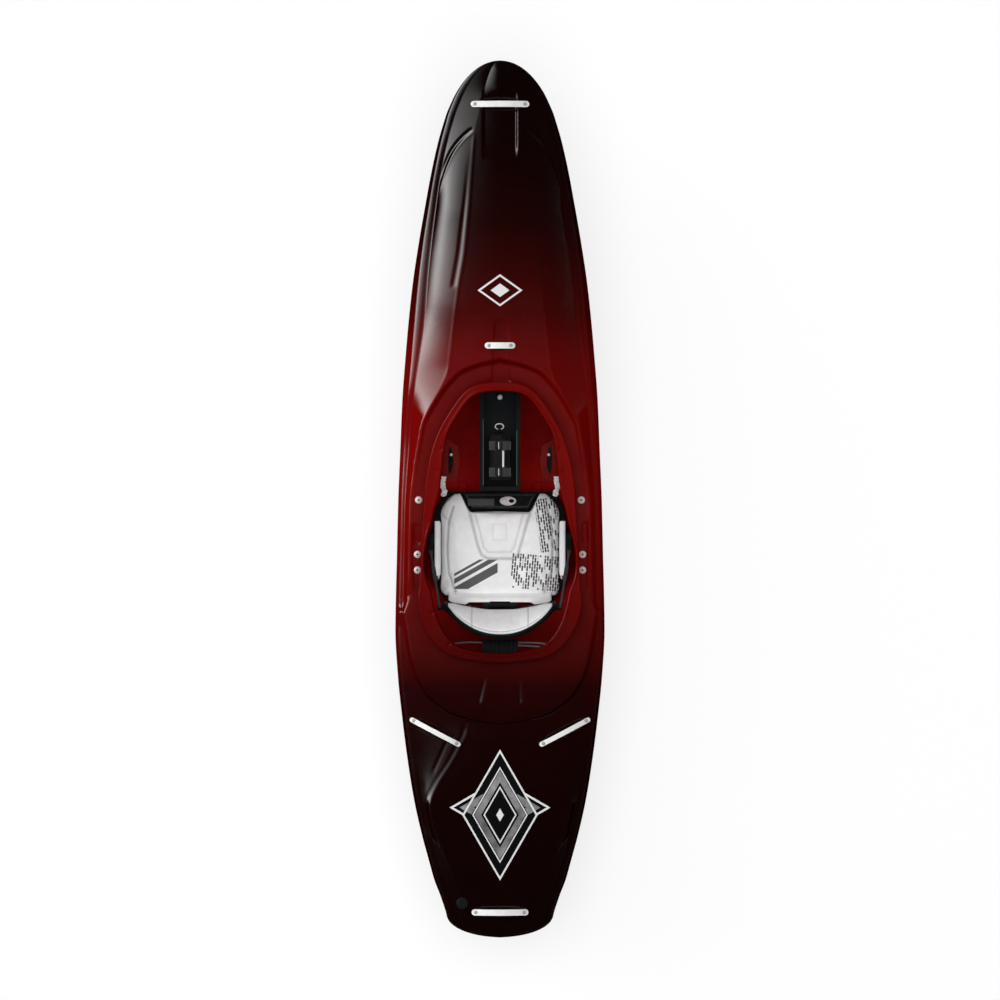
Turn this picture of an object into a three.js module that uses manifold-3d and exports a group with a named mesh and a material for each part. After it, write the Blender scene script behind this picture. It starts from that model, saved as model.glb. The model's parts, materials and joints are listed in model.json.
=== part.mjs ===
// Whitewater kayak in millimetres: +X to the bow, +Y to port, +Z up.
// The origin is on the ground under the middle of the boat, which rests on its flat bottom.
import * as THREE from 'three';
import { mergeVertices } from 'three/addons/utils/BufferGeometryUtils.js';
import Module from 'manifold-3d';

const wasm = await Module();
wasm.setup();

// Hull sizes
const boatLength = 2740;
const boatBeam = 656;
const deckHeight = 368;
const shellWall = 6;
const touchGap = 0.3;
const overrun = 20;
const halfLength = boatLength / 2;
const halfBeam = boatBeam / 2;

// Each table gives pairs of a place along the boat, as a share of its half length from stern to bow,
// and a size there, as a share of the half beam or of the deck height.
const beamShares = [
  [-1, 0.50], [-0.96, 0.505], [-0.91, 0.562], [-0.87, 0.626], [-0.82, 0.685], [-0.77, 0.742],
  [-0.69, 0.818], [-0.6, 0.88], [-0.5, 0.934], [-0.4, 0.977], [-0.3, 1], [-0.11, 0.984], [0, 0.973],
  [0.11, 0.954], [0.23, 0.933], [0.32, 0.905], [0.41, 0.872], [0.5, 0.83], [0.59, 0.773],
  [0.68, 0.707], [0.75, 0.652], [0.82, 0.585], [0.87, 0.523], [0.91, 0.472], [1, 0.42],
];
const keelShares = [
  [-1, 0.516], [-0.91, 0.326], [-0.8, 0.168], [-0.66, 0.065], [-0.51, 0.016], [-0.33, 0],
  [0.33, 0], [0.51, 0.033], [0.66, 0.114], [0.77, 0.234], [0.876, 0.421], [0.95, 0.625], [1, 0.842],
];
const bottomHalfShares = [
  [-1, 0.2], [-0.8, 0.36], [-0.5, 0.5], [-0.2, 0.54], [0.2, 0.52], [0.5, 0.42], [0.8, 0.2], [1, 0.1],
];
const sheerShares = [
  [-1, 0.56], [-0.876, 0.55], [-0.66, 0.53], [-0.4, 0.516], [0, 0.53], [0.22, 0.557],
  [0.44, 0.603], [0.66, 0.68], [0.84, 0.788], [1, 0.895],
];
const bandShares = [
  [-1, 0.09], [-0.9, 0.085], [-0.6, 0.08], [-0.3, 0.07], [0, 0.065], [0.2, 0.09], [0.3, 0.12],
  [0.4, 0.155], [0.6, 0.115], [0.72, 0.09], [0.9, 0.085], [1, 0.08],
];
const edgeRiseShares = [
  [-1, 0.02], [-0.9, 0.07], [-0.6, 0.085], [0, 0.105], [0.16, 0.11], [0.2, 0.145], [0.228, 0.178],
  [0.3, 0.178], [0.4, 0.176], [0.46, 0.166], [0.525, 0.147], [0.6, 0.12], [0.85, 0.08], [1, 0.008],
];
const creaseHalfShares = [
  [-1, 0.27], [-0.92, 0.32], [-0.89, 0.396], [-0.82, 0.5], [-0.75, 0.634], [-0.69, 0.677],
  [-0.644, 0.585], [-0.6, 0.457], [-0.52, 0.28], [-0.44, 0.5], [-0.37, 0.73], [-0.26, 0.88],
  [-0.14, 0.869], [0, 0.86], [0.08, 0.82], [0.176, 0.747], [0.228, 0.625], [0.25, 0.576],
  [0.29, 0.49], [0.47, 0.405], [0.56, 0.338], [0.68, 0.29], [0.84, 0.244], [0.91, 0.168], [1, 0.155],
];
const creaseHeightShares = [
  [-1, 0.6], [-0.92, 0.655], [-0.82, 0.672], [-0.69, 0.675], [-0.52, 0.69], [-0.44, 0.665],
  [-0.37, 0.655], [-0.26, 0.66], [-0.2, 0.7], [-0.14, 0.712], [0, 0.73], [0.08, 0.76],
  [0.176, 0.815], [0.228, 0.88], [0.29, 0.912], [0.44, 0.955], [0.66, 0.98], [0.91, 0.97],
  [0.95, 0.93], [1, 0.91],
];
const centreHeightShares = [
  [-1, 0.61], [-0.95, 0.665], [-0.84, 0.69], [-0.51, 0.7], [-0.37, 0.7], [-0.2, 0.75], [0, 0.86],
  [0.15, 0.93], [0.29, 0.955], [0.44, 0.985], [0.66, 1], [0.84, 0.995], [0.93, 0.975],
  [0.98, 0.94], [1, 0.915],
];

// The lowered deck round the cockpit, which runs on as a raised deck behind it
const wellHalfShares = [
  [-0.512, 0], [-0.505, 0.3], [-0.488, 0.51], [-0.447, 0.72], [-0.409, 0.814], [-0.368, 0.872],
  [-0.315, 0.912], [-0.255, 0.955], [-0.2, 0.85], [-0.14, 0.865], [0, 0.855], [0.08, 0.815],
  [0.176, 0.74], [0.228, 0.62], [0.25, 0.56], [0.292, 0.4], [0.31, 0.25], [0.3175, 0],
];
const wellHeightShares = [
  [-0.512, 0.745], [-0.37, 0.735], [-0.2, 0.71], [0, 0.745], [0.15, 0.8], [0.267, 0.86],
  [0.3175, 0.875],
];
const wellStep = 14;
const wellCrown = 6;

// Both tips are rounded in plan from these places on
const bowRoundStartShare = 0.876;
const sternRoundStartShare = 0.95;
const sideRoundnessShare = 0.8;

// The shallow channel along the middle of the bow
const channelDepth = 12;
const channelEdge = 10;
const channelHalfShare = 0.92;
const channelStartShare = 0.776;
const channelEndShare = 0.97;

// Stations of the hull's sections
const sternTipStepShares = [0.985, 0.94, 0.86, 0.72, 0.5, 0.25, 0];
const bowTipStepShares = [0, 0.25, 0.5, 0.72, 0.86, 0.94, 0.994];
const stationShares = [
  -0.92, -0.89, -0.855, -0.82, -0.785, -0.75, -0.72, -0.69, -0.665, -0.635, -0.6, -0.56, -0.52,
  -0.511, -0.503, -0.487, -0.467, -0.44, -0.405, -0.37, -0.33, -0.29, -0.255, -0.225, -0.2, -0.17,
  -0.13, -0.08, -0.03, 0.02, 0.075, 0.13, 0.176, 0.205, 0.23, 0.25, 0.27, 0.285, 0.297, 0.307,
  0.316, 0.325, 0.35, 0.4, 0.45, 0.51, 0.57, 0.63, 0.68, 0.73, 0.77, 0.79, 0.82, 0.85,
];
const lowerSteps = 4;
const rollSteps = 3;
const deckLineShares = [0.62, 0.3, 0];
const facetMiddleShare = 0.5;
const wellLineShare = 0.75;

// Cockpit and coaming sizes
const cockpitFrontShare = 0.24745;
const cockpitFront = cockpitFrontShare * halfLength;
const cockpitRearShare = -0.34964;
const cockpitRear = cockpitRearShare * halfLength;
const cockpitHalfShare = 0.7226;
const cockpitHalf = cockpitHalfShare * halfBeam;
const cockpitLength = cockpitFront - cockpitRear;
const flangeWidth = 45;
const flangeThickness = 5;
const flangeDroop = 3;
const rimFrontHeightShare = 1.019;
const rimFrontHeight = rimFrontHeightShare * deckHeight;
const rimRearHeightShare = 0.8179;
const rimRearHeight = rimRearHeightShare * deckHeight;
const rimBend = 1.8;
const coamingSkirt = 18;
const rimPoints = 60;

// Each row is a place along the cockpit, the half opening there and the flange width there, as shares
const coamingShares = [
  [1, 0, 0.62], [0.993, 0.253, 0.62], [0.974, 0.38, 0.6], [0.934, 0.494, 0.6], [0.879, 0.616, 0.6],
  [0.833, 0.696, 0.64], [0.769, 0.738, 0.84], [0.689, 0.768, 1], [0.609, 0.806, 1],
  [0.543, 0.869, 0.73], [0.498, 0.899, 0.62], [0.444, 0.954, 0.4], [0.359, 1, 0.28],
  [0.292, 0.979, 0.47], [0.243, 0.916, 0.87], [0.185, 0.873, 1.1], [0.127, 0.814, 1.1],
  [0.066, 0.7, 1], [0.029, 0.56, 0.84], [0.0086, 0.338, 0.69], [0, 0, 0.69],
];

// Grab bars: each has a length, a width, and a place and direction on the deck
const barThickness = 9;
const barFootHeight = 11;
const barRiseShare = 0.11;
const barFootLength = 27;
const barScrewInset = 13;
const barWidth = 19;
const rearBarWidth = 15;
const bowBarLength = 183;
const bowBarPlaceShare = 0.9;
const bowBarPlace = bowBarPlaceShare * halfLength;
const deckBarLength = 95;
const deckBarPlaceShare = 0.35109;
const deckBarPlace = deckBarPlaceShare * halfLength;
const sternBarLength = 178;
const sternBarPlaceShare = -0.94161;
const sternBarPlace = sternBarPlaceShare * halfLength;
const rearBarLength = 178;
const rearBarPlaceShare = -0.52993;
const rearBarPlace = rearBarPlaceShare * halfLength;
const rearBarOutShare = 0.6189;
const rearBarOut = rearBarOutShare * halfBeam;
const rearBarTurn = 62.5;

// Screws
const screwHeadRadius = 5.6;
const screwHeadHeight = 3.2;
const screwRadius = 2.5;
const screwClearance = 0.3;
const screwSink = 3;
const screwLength = 14;
const sideScrewHeadRadius = 11.7;
const sideScrewHeadHeight = 5;
const sideScrewRadius = 3.7;
const sideScrewOutShare = 0.7744;
const sideScrewOut = sideScrewOutShare * halfBeam;
const sideScrewShares = [0, -0.1241, -0.1599];
const sideScrewPlaces = sideScrewShares.map((share) => share * halfLength);
const domeTopShare = 0.7;
const domeRiseShare = 0.85;
const domeSides = 12;
const roundSides = 16;
const holeSides = 8;
const screwSides = 10;
const mergeDistance = 0.001;

// Drain near the stern
const drainPlaceShare = -0.92117;
const drainPlace = drainPlaceShare * halfLength;
const drainOutShare = 0.3598;
const drainOut = drainOutShare * halfBeam;
const drainHeadRadius = 15;
const drainHeadHeight = 5;
const drainStemRadius = 8;
const drainStemLength = 22;
const drainBoreClearance = 0.6;
const drainInsertRadius = 18;
const drainInsertRise = 3;
const drainSealRadius = 12;
const drainSealHeight = 2;
const drainSlotWidth = 3;
const drainSlotDepth = 2.5;

// Seat
const railOut = 118;
const railWidth = 24;
const railHeight = 10;
const railOverhang = 30;
const seatFront = 26;
const seatRear = -318;
const seatHalf = 200;
const seatFloor = 34;
const seatWall = 7;
const seatSideHeight = 172;
const seatSideRear = -262;
const seatSideFront = -40;
const seatShoulder = 30;
const seatHollowInset = 22;
const seatRearWallHeight = 92;
const seatRearWallHalf = 84;
const hipPadThickness = 10;
const hipPadFloor = 96;
const hipPadClearance = 5;
const cushionCrown = 26;
const cushionEdge = 9;
const cushionClearance = 3;
const cushionRear = seatRear + seatWall + cushionClearance;
const cushionCornerRadius = 34;
const cushionSideShares = [0.86, 0.96];
const panelFront = -41;
const panelRear = -175;
const panelFrontHalf = 87;
const panelRearHalf = 56;
const panelGroove = 5;
const panelGrooveWidth = 7;

// Leg lifter at the front of the seat
const lifterFrontHalf = 117;
const lifterRearHalf = 88;
const lifterRear = -30;
const lifterHeight = 36;
const lifterClearance = 5;
const buckleLength = 24;
const buckleWidth = 40;
const buckleHeight = 7;
const buckleOut = -31;

// Backband
const bandHinge = -332;
const bandHingeHeight = 100;
const bandHalf = 170;
const bandLowHeight = 112;
const bandLowEndRise = 34;
const bandTopHeight = 240;
const bandTopEndDrop = 36;
const bandLowPlace = -330;
const bandLowEndShift = 26;
const bandTopPlace = -418;
const bandTopEndShift = 90;
const bandPadThickness = 18;
const bandPadCrownShare = 0.75;
const bandTopBend = 2.2;
const bandPlateThickness = 4;
const hingeRadius = 6;
const hingePinRadius = 3;
const hingeBoreClearance = 0.6;
const hingeMiddleHalf = 32;
const hingeLugWidth = 22;
const strapShelfWidth = 26;
const strapShelfThickness = 4;

// Ratchets
const ratchetRear = -150;
const ratchetLength = 48;
const ratchetBaseHeight = 9;
const ratchetCheek = 3;
const ladderStrapWidth = 14;
const ladderStrapThickness = 2.5;
const leverThickness = 6;
const leverPinRadius = 1.8;
const leverBarrelRadius = 3.4;

// Front pillar and what lies in its tray
const pillarGap = 2.6;
const pillarRear = seatFront + pillarGap;
const pillarFrontShare = 0.46715;
const pillarFront = pillarFrontShare * halfLength;
const pillarHalf = 64;
const pillarTopHeightShare = 0.7283;
const pillarTopHeight = pillarTopHeightShare * deckHeight;
const pillarStepFrontShare = 0.28613;
const pillarStepFront = pillarStepFrontShare * halfLength;
const trayWall = 13;
const trayDepth = 44;
const trayFrontGap = 11;
const trayFront = cockpitFront - trayFrontGap;
const rollRadius = 31;
const rollRear = 62;
const rollFront = 205;
const rollRoundShare = 0.86;
const strapBandWidth = 30;
const strapBandThickness = 2.5;
const frontBandPlace = 170;
const rearBandPlace = 72;
const rollCentreRise = 33;
const boltGap = 6;
const boltPlace = trayFront - boltGap;
const boltRadius = 9;
const boltStemHeight = 12;
const clipPlace = 230;
const clipLength = 14;
const clipWidth = 20;
const clipHeight = 6;

// Rear pillar
const rearPillarGap = 23;
const rearPillarFront = bandTopPlace - rearPillarGap;
const rearPillarSetback = 21;
const rearPillarTopFront = rearPillarFront - rearPillarSetback;
const rearPillarShoulderShare = 0.462;
const rearPillarShoulder = rearPillarShoulderShare * deckHeight;
const rearPillarRearShare = -0.72993;
const rearPillarRear = rearPillarRearShare * halfLength;
const rearPillarHalf = 55;
const rearPillarTopHeightShare = 0.5815;
const rearPillarTopHeight = rearPillarTopHeightShare * deckHeight;
const rearPillarStepShare = -0.39781;
const rearPillarStep = rearPillarStepShare * halfLength;

// Thigh braces under the front deck
const braceRearShare = 0.0438;
const braceRear = braceRearShare * halfLength;
const braceFrontShare = 0.1562;
const braceFront = braceFrontShare * halfLength;
const braceInnerShare = 0.378;
const braceInner = braceInnerShare * halfBeam;
const braceOuterShare = 0.7073;
const braceOuter = braceOuterShare * halfBeam;
const braceThickness = 6;
const braceHeightShare = 0.5598;
const braceHeight = braceHeightShare * deckHeight;
const bracePadThickness = 14;
const bracePadInset = 8;
const bracketRearShare = 0.0073;
const bracketRear = bracketRearShare * halfLength;
const bracketFrontShare = 0.19562;
const bracketFront = bracketFrontShare * halfLength;
const bracketInnerShare = 0.628;
const bracketInner = bracketInnerShare * halfBeam;
const bracketWidth = 26;
const braceCornerShare = 0.42;
const braceHookShare = 0.72;

// Foot rails and plates under the front deck
const footRailRearShare = 0.32117;
const footRailRear = footRailRearShare * halfLength;
const footRailLengthShare = 0.29197;
const footRailLength = footRailLengthShare * halfLength;
const footRailOutShare = 0.7683;
const footRailOut = footRailOutShare * halfBeam;
const footRailTurn = 9.5;
const footRailFloorShare = 0.3315;
const footRailFloor = footRailFloorShare * deckHeight;
const footRailHeight = 26;
const footPlatePlaceShare = 0.44526;
const footPlatePlace = footPlatePlaceShare * halfLength;
const footPlateThickness = 12;
const footPlateFloorShare = 0.1793;
const footPlateFloor = footPlateFloorShare * deckHeight;
const footPlateHeightShare = 0.4076;
const footPlateHeight = footPlateHeightShare * deckHeight;
const footPlateWidth = 112;
const footPadThickness = 9;
const footPadInset = 7;

// Materials, one for each finish
function finish(colour, roughness, metalness = 0) {
  return new THREE.MeshStandardMaterial({ color: colour, roughness, metalness });
}
const hullRed = finish(0x5a0a05, 0.35);
const barWhite = finish(0xdcdada, 0.45);
const steel = finish(0xb8b8b6, 0.3, 1);
const blackPlastic = finish(0x0c0d0f, 0.5);
const blackFoam = finish(0x08090b, 0.85);
const paleCloth = finish(0xcfced0, 0.9);
const greyWebbing = finish(0x3c3c3f, 0.9);
const braceRed = finish(0x6a0a06, 0.4);
const sealRubber = finish(0x101011, 0.7);

// Value of a table at a place, joined by straight lines
function straight(table, place) {
  const last = table.length - 1;
  if (place <= table[0][0]) return table[0][1];
  if (place >= table[last][0]) return table[last][1];
  const next = table.findIndex((row) => row[0] > place);
  const [x0, y0] = table[next - 1];
  const [x1, y1] = table[next];
  return y0 + ((y1 - y0) * (place - x0)) / (x1 - x0);
}

// Slope of a table at one of its rows, none where the values turn
function slopeAt(table, row) {
  if (row === 0 || row === table.length - 1) return 0;
  const before = (table[row][1] - table[row - 1][1]) / (table[row][0] - table[row - 1][0]);
  const after = (table[row + 1][1] - table[row][1]) / (table[row + 1][0] - table[row][0]);
  if (before * after <= 0) return 0;
  return (2 * before * after) / (before + after);
}

// Value of a table at a place, joined by a smooth curve that keeps every rise and fall
function smooth(table, place) {
  const last = table.length - 1;
  if (place <= table[0][0]) return table[0][1];
  if (place >= table[last][0]) return table[last][1];
  const next = table.findIndex((row) => row[0] > place);
  const [x0, y0] = table[next - 1];
  const [x1, y1] = table[next];
  const span = x1 - x0;
  const t = (place - x0) / span;
  const rise = (y1 - y0) * t * t * (3 - 2 * t);
  const startPart = slopeAt(table, next - 1) * span * t * (1 - t) * (1 - t);
  const endPart = slopeAt(table, next) * span * t * t * (t - 1);
  return y0 + rise + startPart + endPart;
}

// Goes from 0 to 1 with soft ends
function ease(value) {
  const t = Math.min(1, Math.max(0, value));
  return t * t * (3 - 2 * t);
}

// Narrowing of every width towards a round tip, 1 along the body of the boat
function tipShare(x) {
  const startShare = x > 0 ? bowRoundStartShare : sternRoundStartShare;
  const start = startShare * halfLength;
  const along = Math.max(0, (Math.abs(x) - start) / (halfLength - start));
  return Math.sqrt(Math.max(0, 1 - along * along));
}

function sheerHalfAt(x) {
  return smooth(beamShares, x / halfLength) * halfBeam * tipShare(x);
}

function creaseHalfAt(x) {
  return straight(creaseHalfShares, x / halfLength) * halfBeam * tipShare(x);
}

function edgeHalfAt(x) {
  return sheerHalfAt(x) - straight(bandShares, x / halfLength) * halfBeam * tipShare(x);
}

function wellHalfAt(x) {
  return straight(wellHalfShares, x / halfLength) * halfBeam;
}

// 1 in the lowered deck round the cockpit and 0 outside it, measured square to its edge
function wellShareAt(x, side) {
  const reach = wellStep / 2;
  const slope = (wellHalfAt(x + reach) - wellHalfAt(x - reach)) / (2 * reach);
  const inside = (wellHalfAt(x) - side) / Math.hypot(1, slope);
  return ease(inside / wellStep);
}

function channelShareAt(x, side) {
  const sideShare = ease((creaseHalfAt(x) * channelHalfShare - side) / channelEdge);
  const startPart = ease((x - channelStartShare * halfLength) / (2 * channelEdge));
  const endPart = ease((channelEndShare * halfLength - x) / (2 * channelEdge));
  return sideShare * startPart * endPart;
}

// Height of the deck at a place
function deckHeightAt(x, y) {
  const place = x / halfLength;
  const side = Math.abs(y);
  const creaseHalf = creaseHalfAt(x);
  const creaseHeight = straight(creaseHeightShares, place) * deckHeight;
  const centreHeight = smooth(centreHeightShares, place) * deckHeight;
  let height = centreHeight - (centreHeight - creaseHeight) * (side / creaseHalf) ** 2;
  if (side > creaseHalf) {
    const edgeRise = straight(edgeRiseShares, place) * deckHeight;
    const edgeHeight = smooth(sheerShares, place) * deckHeight + edgeRise;
    const along = (side - creaseHalf) / (edgeHalfAt(x) - creaseHalf);
    height = creaseHeight + (edgeHeight - creaseHeight) * along;
  }
  const wellShare = wellShareAt(x, side);
  if (wellShare > 0) {
    const crown = wellCrown * (side / wellHalfAt(x)) ** 2;
    const wellHeight = smooth(wellHeightShares, place) * deckHeight - crown;
    height += (wellHeight - height) * wellShare;
  }
  return height - channelDepth * channelShareAt(x, side);
}

// Half of a section, from the keel out to the sheer and in to the middle of the deck
function halfSection(x, inset) {
  const place = x / halfLength;
  const points = [];
  const sheerHalf = sheerHalfAt(x) - inset;
  const sheerHeight = smooth(sheerShares, place) * deckHeight;
  const keelHeight = smooth(keelShares, place) * deckHeight + inset;
  const bottomHalf = Math.min(smooth(bottomHalfShares, place) * halfBeam * tipShare(x), sheerHalf / 2);
  points.push([0, keelHeight]);
  points.push([bottomHalf, keelHeight]);
  for (let step = 1; step <= lowerSteps; step += 1) {
    const turn = (Math.PI / 2) * (step / lowerSteps);
    const out = Math.sin(turn) ** sideRoundnessShare;
    const up = 1 - Math.max(0, Math.cos(turn)) ** sideRoundnessShare;
    points.push([bottomHalf + (sheerHalf - bottomHalf) * out, keelHeight + (sheerHeight - keelHeight) * up]);
  }
  const edgeHalf = edgeHalfAt(x);
  const edgeHeight = deckHeightAt(x, edgeHalf) - inset;
  const edgeInner = edgeHalf - inset;
  for (let step = 1; step <= rollSteps; step += 1) {
    const turn = (Math.PI / 2) * (step / rollSteps);
    const out = edgeInner + (sheerHalf - edgeInner) * Math.cos(turn);
    points.push([out, sheerHeight + (edgeHeight - sheerHeight) * Math.sin(turn)]);
  }
  const narrowing = (sheerHalf / (sheerHalf + inset));
  const outerLine = Math.min(Math.max(creaseHalfAt(x), wellHalfAt(x)), edgeHalf - wellStep / 4);
  const innerLine = Math.max(outerLine - wellStep - 2 * touchGap, wellLineShare * outerLine);
  const middleLine = outerLine + (edgeHalf - outerLine) * facetMiddleShare;
  const lines = [middleLine, outerLine, innerLine];
  for (const share of deckLineShares) lines.push(share * outerLine);
  for (const line of lines) points.push([line * narrowing, deckHeightAt(x, line) - inset]);
  return points;
}

// Closed body from rings of equally many points, each end closed by a fan
function loft(rings) {
  const count = rings[0].length;
  const positions = rings.flat(2);
  const faces = [];
  for (let ring = 0; ring + 1 < rings.length; ring += 1) {
    for (let point = 0; point < count; point += 1) {
      const next = (point + 1) % count;
      const a = ring * count + point;
      const b = ring * count + next;
      const c = a + count;
      const d = b + count;
      faces.push(a, b, d, a, d, c);
    }
  }
  for (const ring of [0, rings.length - 1]) {
    const centre = positions.length / 3;
    const middle = [0, 1, 2].map((axis) => rings[ring].reduce((sum, p) => sum + p[axis], 0) / count);
    positions.push(...middle);
    for (let point = 0; point < count; point += 1) {
      const a = ring * count + point;
      const b = ring * count + ((point + 1) % count);
      if (ring === 0) faces.push(centre, b, a);
      else faces.push(centre, a, b);
    }
  }
  return solidFromArrays(positions, faces);
}

// Closed body from one ring that is swept round, so it has a hole in the middle
function sweepRound(rings) {
  const count = rings[0].length;
  const positions = rings.flat(2);
  const faces = [];
  for (let ring = 0; ring < rings.length; ring += 1) {
    const after = (ring + 1) % rings.length;
    for (let point = 0; point < count; point += 1) {
      const next = (point + 1) % count;
      const a = ring * count + point;
      const b = ring * count + next;
      const c = after * count + point;
      const d = after * count + next;
      faces.push(a, b, d, a, d, c);
    }
  }
  return solidFromArrays(positions, faces);
}

// Solid from points and faces, with its faces turned outwards
function solidFromArrays(positions, faces) {
  let volume = 0;
  for (let face = 0; face < faces.length; face += 3) {
    const [a, b, c] = [0, 1, 2].map((corner) => {
      const start = faces[face + corner] * 3;
      return new THREE.Vector3(positions[start], positions[start + 1], positions[start + 2]);
    });
    volume += a.dot(b.cross(c));
  }
  const turned = [...faces];
  if (volume < 0) {
    for (let face = 0; face < faces.length; face += 3) {
      turned[face + 1] = faces[face + 2];
      turned[face + 2] = faces[face + 1];
    }
  }
  const mesh = new wasm.Mesh({
    numProp: 3,
    vertProperties: Float32Array.from(positions),
    triVerts: Uint32Array.from(turned),
  });
  return new wasm.Manifold(mesh);
}

// Solid from a three.js geometry
function solidFrom(geometry) {
  const bare = geometry.clone();
  bare.deleteAttribute('normal');
  bare.deleteAttribute('uv');
  const merged = mergeVertices(bare, mergeDistance);
  return solidFromArrays([...merged.attributes.position.array], [...merged.index.array]);
}

function box(low, high) {
  const size = high.map((value, axis) => value - low[axis]);
  const geometry = new THREE.BoxGeometry(...size);
  geometry.translate(...high.map((value, axis) => (value + low[axis]) / 2));
  return solidFrom(geometry);
}

// Box whose Y range is mirrored for the starboard side
function sideBox(side, low, high) {
  const ys = [side * low[1], side * high[1]].sort((a, b) => a - b);
  return box([low[0], ys[0], low[2]], [high[0], ys[1], high[2]]);
}

function extrude(outline, depth) {
  const shape = new THREE.Shape(outline.map(([a, b]) => new THREE.Vector2(a, b)));
  return new THREE.ExtrudeGeometry(shape, { depth, bevelEnabled: false });
}

// Prism with an outline of X and Y, from one height up to another
function plate(outline, low, high) {
  const geometry = extrude(outline, high - low);
  geometry.translate(0, 0, low);
  return solidFrom(geometry);
}

// Prism with an outline of X and Z, from one Y to another
function slab(outline, low, high) {
  const geometry = extrude(outline, high - low);
  geometry.rotateX(Math.PI / 2);
  geometry.translate(0, high, 0);
  return solidFrom(geometry);
}

// Prism with an outline of Y and Z, from one X to another
function beam(outline, low, high) {
  const geometry = extrude(outline, high - low);
  geometry.rotateX(Math.PI / 2);
  geometry.rotateZ(Math.PI / 2);
  geometry.translate(low, 0, 0);
  return solidFrom(geometry);
}

// Upright round post
function post(radius, place, low, high, sides = roundSides) {
  const geometry = new THREE.CylinderGeometry(radius, radius, high - low, sides);
  geometry.rotateX(Math.PI / 2);
  geometry.translate(place[0], place[1], (low + high) / 2);
  return solidFrom(geometry);
}

// Round pin along Y
function crossPin(radius, place, low, high, sides = roundSides) {
  const geometry = new THREE.CylinderGeometry(radius, radius, high - low, sides);
  geometry.translate(place[0], (low + high) / 2, place[1]);
  return solidFrom(geometry);
}

// Round body turned about an upright axis
function turned(profile, place, height, sides = roundSides) {
  const points = profile.map(([radius, up]) => new THREE.Vector2(radius, up));
  const geometry = new THREE.LatheGeometry(points, sides);
  geometry.rotateX(Math.PI / 2);
  geometry.translate(place[0], place[1], height);
  return solidFrom(geometry);
}

// The hull as a filled body, its skin moved in by an inset, or out where that is negative
function hullBody(inset) {
  const shrink = (halfLength - inset) / halfLength;
  const places = [];
  for (const share of sternTipStepShares) {
    places.push(-(sternRoundStartShare + (1 - sternRoundStartShare) * share));
  }
  places.push(...stationShares);
  for (const share of bowTipStepShares) {
    places.push(bowRoundStartShare + (1 - bowRoundStartShare) * share);
  }
  const rings = places.map((place) => {
    const x = place * halfLength;
    const half = halfSection(x, inset);
    const right = half.slice(1, -1).reverse().map(([y, z]) => [-y, z]);
    return [...half, ...right].map(([y, z]) => [x * shrink, y, z]);
  });
  return loft(rings);
}

const boat = new THREE.Group();
const deckGroup = new THREE.Group();
const outfitting = new THREE.Group();
const seatGroup = new THREE.Group();
boat.add(deckGroup);
boat.add(outfitting);
outfitting.add(seatGroup);

// Adds a solid to a group as a named mesh that stands at the middle of its own box
function add(group, name, solid, material) {
  const { vertProperties, triVerts, numProp } = solid.getMesh();
  const geometry = new THREE.BufferGeometry();
  const positions = new Float32Array((vertProperties.length / numProp) * 3);
  for (let vertex = 0; vertex * numProp < vertProperties.length; vertex += 1) {
    for (let axis = 0; axis < 3; axis += 1) {
      positions[vertex * 3 + axis] = vertProperties[vertex * numProp + axis];
    }
  }
  geometry.setAttribute('position', new THREE.BufferAttribute(positions, 3));
  geometry.setIndex([...triVerts]);
  geometry.computeBoundingBox();
  const centre = new THREE.Vector3();
  geometry.boundingBox.getCenter(centre);
  geometry.translate(-centre.x, -centre.y, -centre.z);
  geometry.computeVertexNormals();
  const mesh = new THREE.Mesh(geometry, material);
  mesh.name = name;
  mesh.position.copy(centre);
  group.add(mesh);
}

const sides = [['left', 1], ['right', -1]];

// Hull bodies that other pieces are cut by
const outerHull = hullBody(0);
const innerHull = hullBody(shellWall);
const clipHull = hullBody(shellWall + touchGap);
const liftedHull = hullBody(-touchGap);

// Keeps the part of a solid that lies inside the hull's inner skin
function fitInside(solid) {
  return solid.intersect(clipHull);
}

function rimHeightAt(x) {
  const along = Math.min(1, Math.max(0, (x - cockpitRear) / cockpitLength));
  return rimRearHeight + (rimFrontHeight - rimRearHeight) * along ** rimBend;
}

// Edge of the cockpit opening: points with their outward direction and flange width
function coamingLine() {
  const half = coamingShares.map(([along, out, width]) => new THREE.Vector3(
    cockpitRear + along * cockpitLength,
    out * cockpitHalf,
    width * flangeWidth,
  ));
  const mirrored = half.slice(1, -1).reverse().map((p) => new THREE.Vector3(p.x, -p.y, p.z));
  const curve = new THREE.CatmullRomCurve3([...half, ...mirrored], true);
  const points = [];
  for (let index = 0; index < rimPoints; index += 1) {
    const share = index / rimPoints;
    const point = curve.getPoint(share);
    const tangent = curve.getTangent(share);
    const length = Math.hypot(tangent.x, tangent.y);
    const out = [-tangent.y / length, tangent.x / length];
    if (out[0] * point.x + out[1] * point.y < 0) out.forEach((value, axis) => { out[axis] = -value; });
    points.push({ x: point.x, y: point.y, width: point.z, out });
  }
  return points;
}

function moved(point, distance) {
  return [point.x + point.out[0] * distance, point.y + point.out[1] * distance];
}

const rim = coamingLine();
const coaming = sweepRound(rim.map((point) => {
  const top = rimHeightAt(point.x);
  const [wallX, wallY] = moved(point, shellWall);
  const [lipX, lipY] = moved(point, point.width);
  const bottom = deckHeightAt(wallX, wallY) - coamingSkirt;
  return [
    [point.x, point.y, bottom],
    [point.x, point.y, top],
    [lipX, lipY, top - flangeDroop],
    [lipX, lipY, top - flangeDroop - flangeThickness],
    [wallX, wallY, top - flangeThickness],
    [wallX, wallY, bottom],
  ];
}));
const cockpitCut = plate(rim.map((point) => moved(point, shellWall / 2)), deckHeight / 2, deckHeight * 2);

let hull = outerHull.subtract(innerHull).subtract(cockpitCut).add(coaming);

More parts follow.
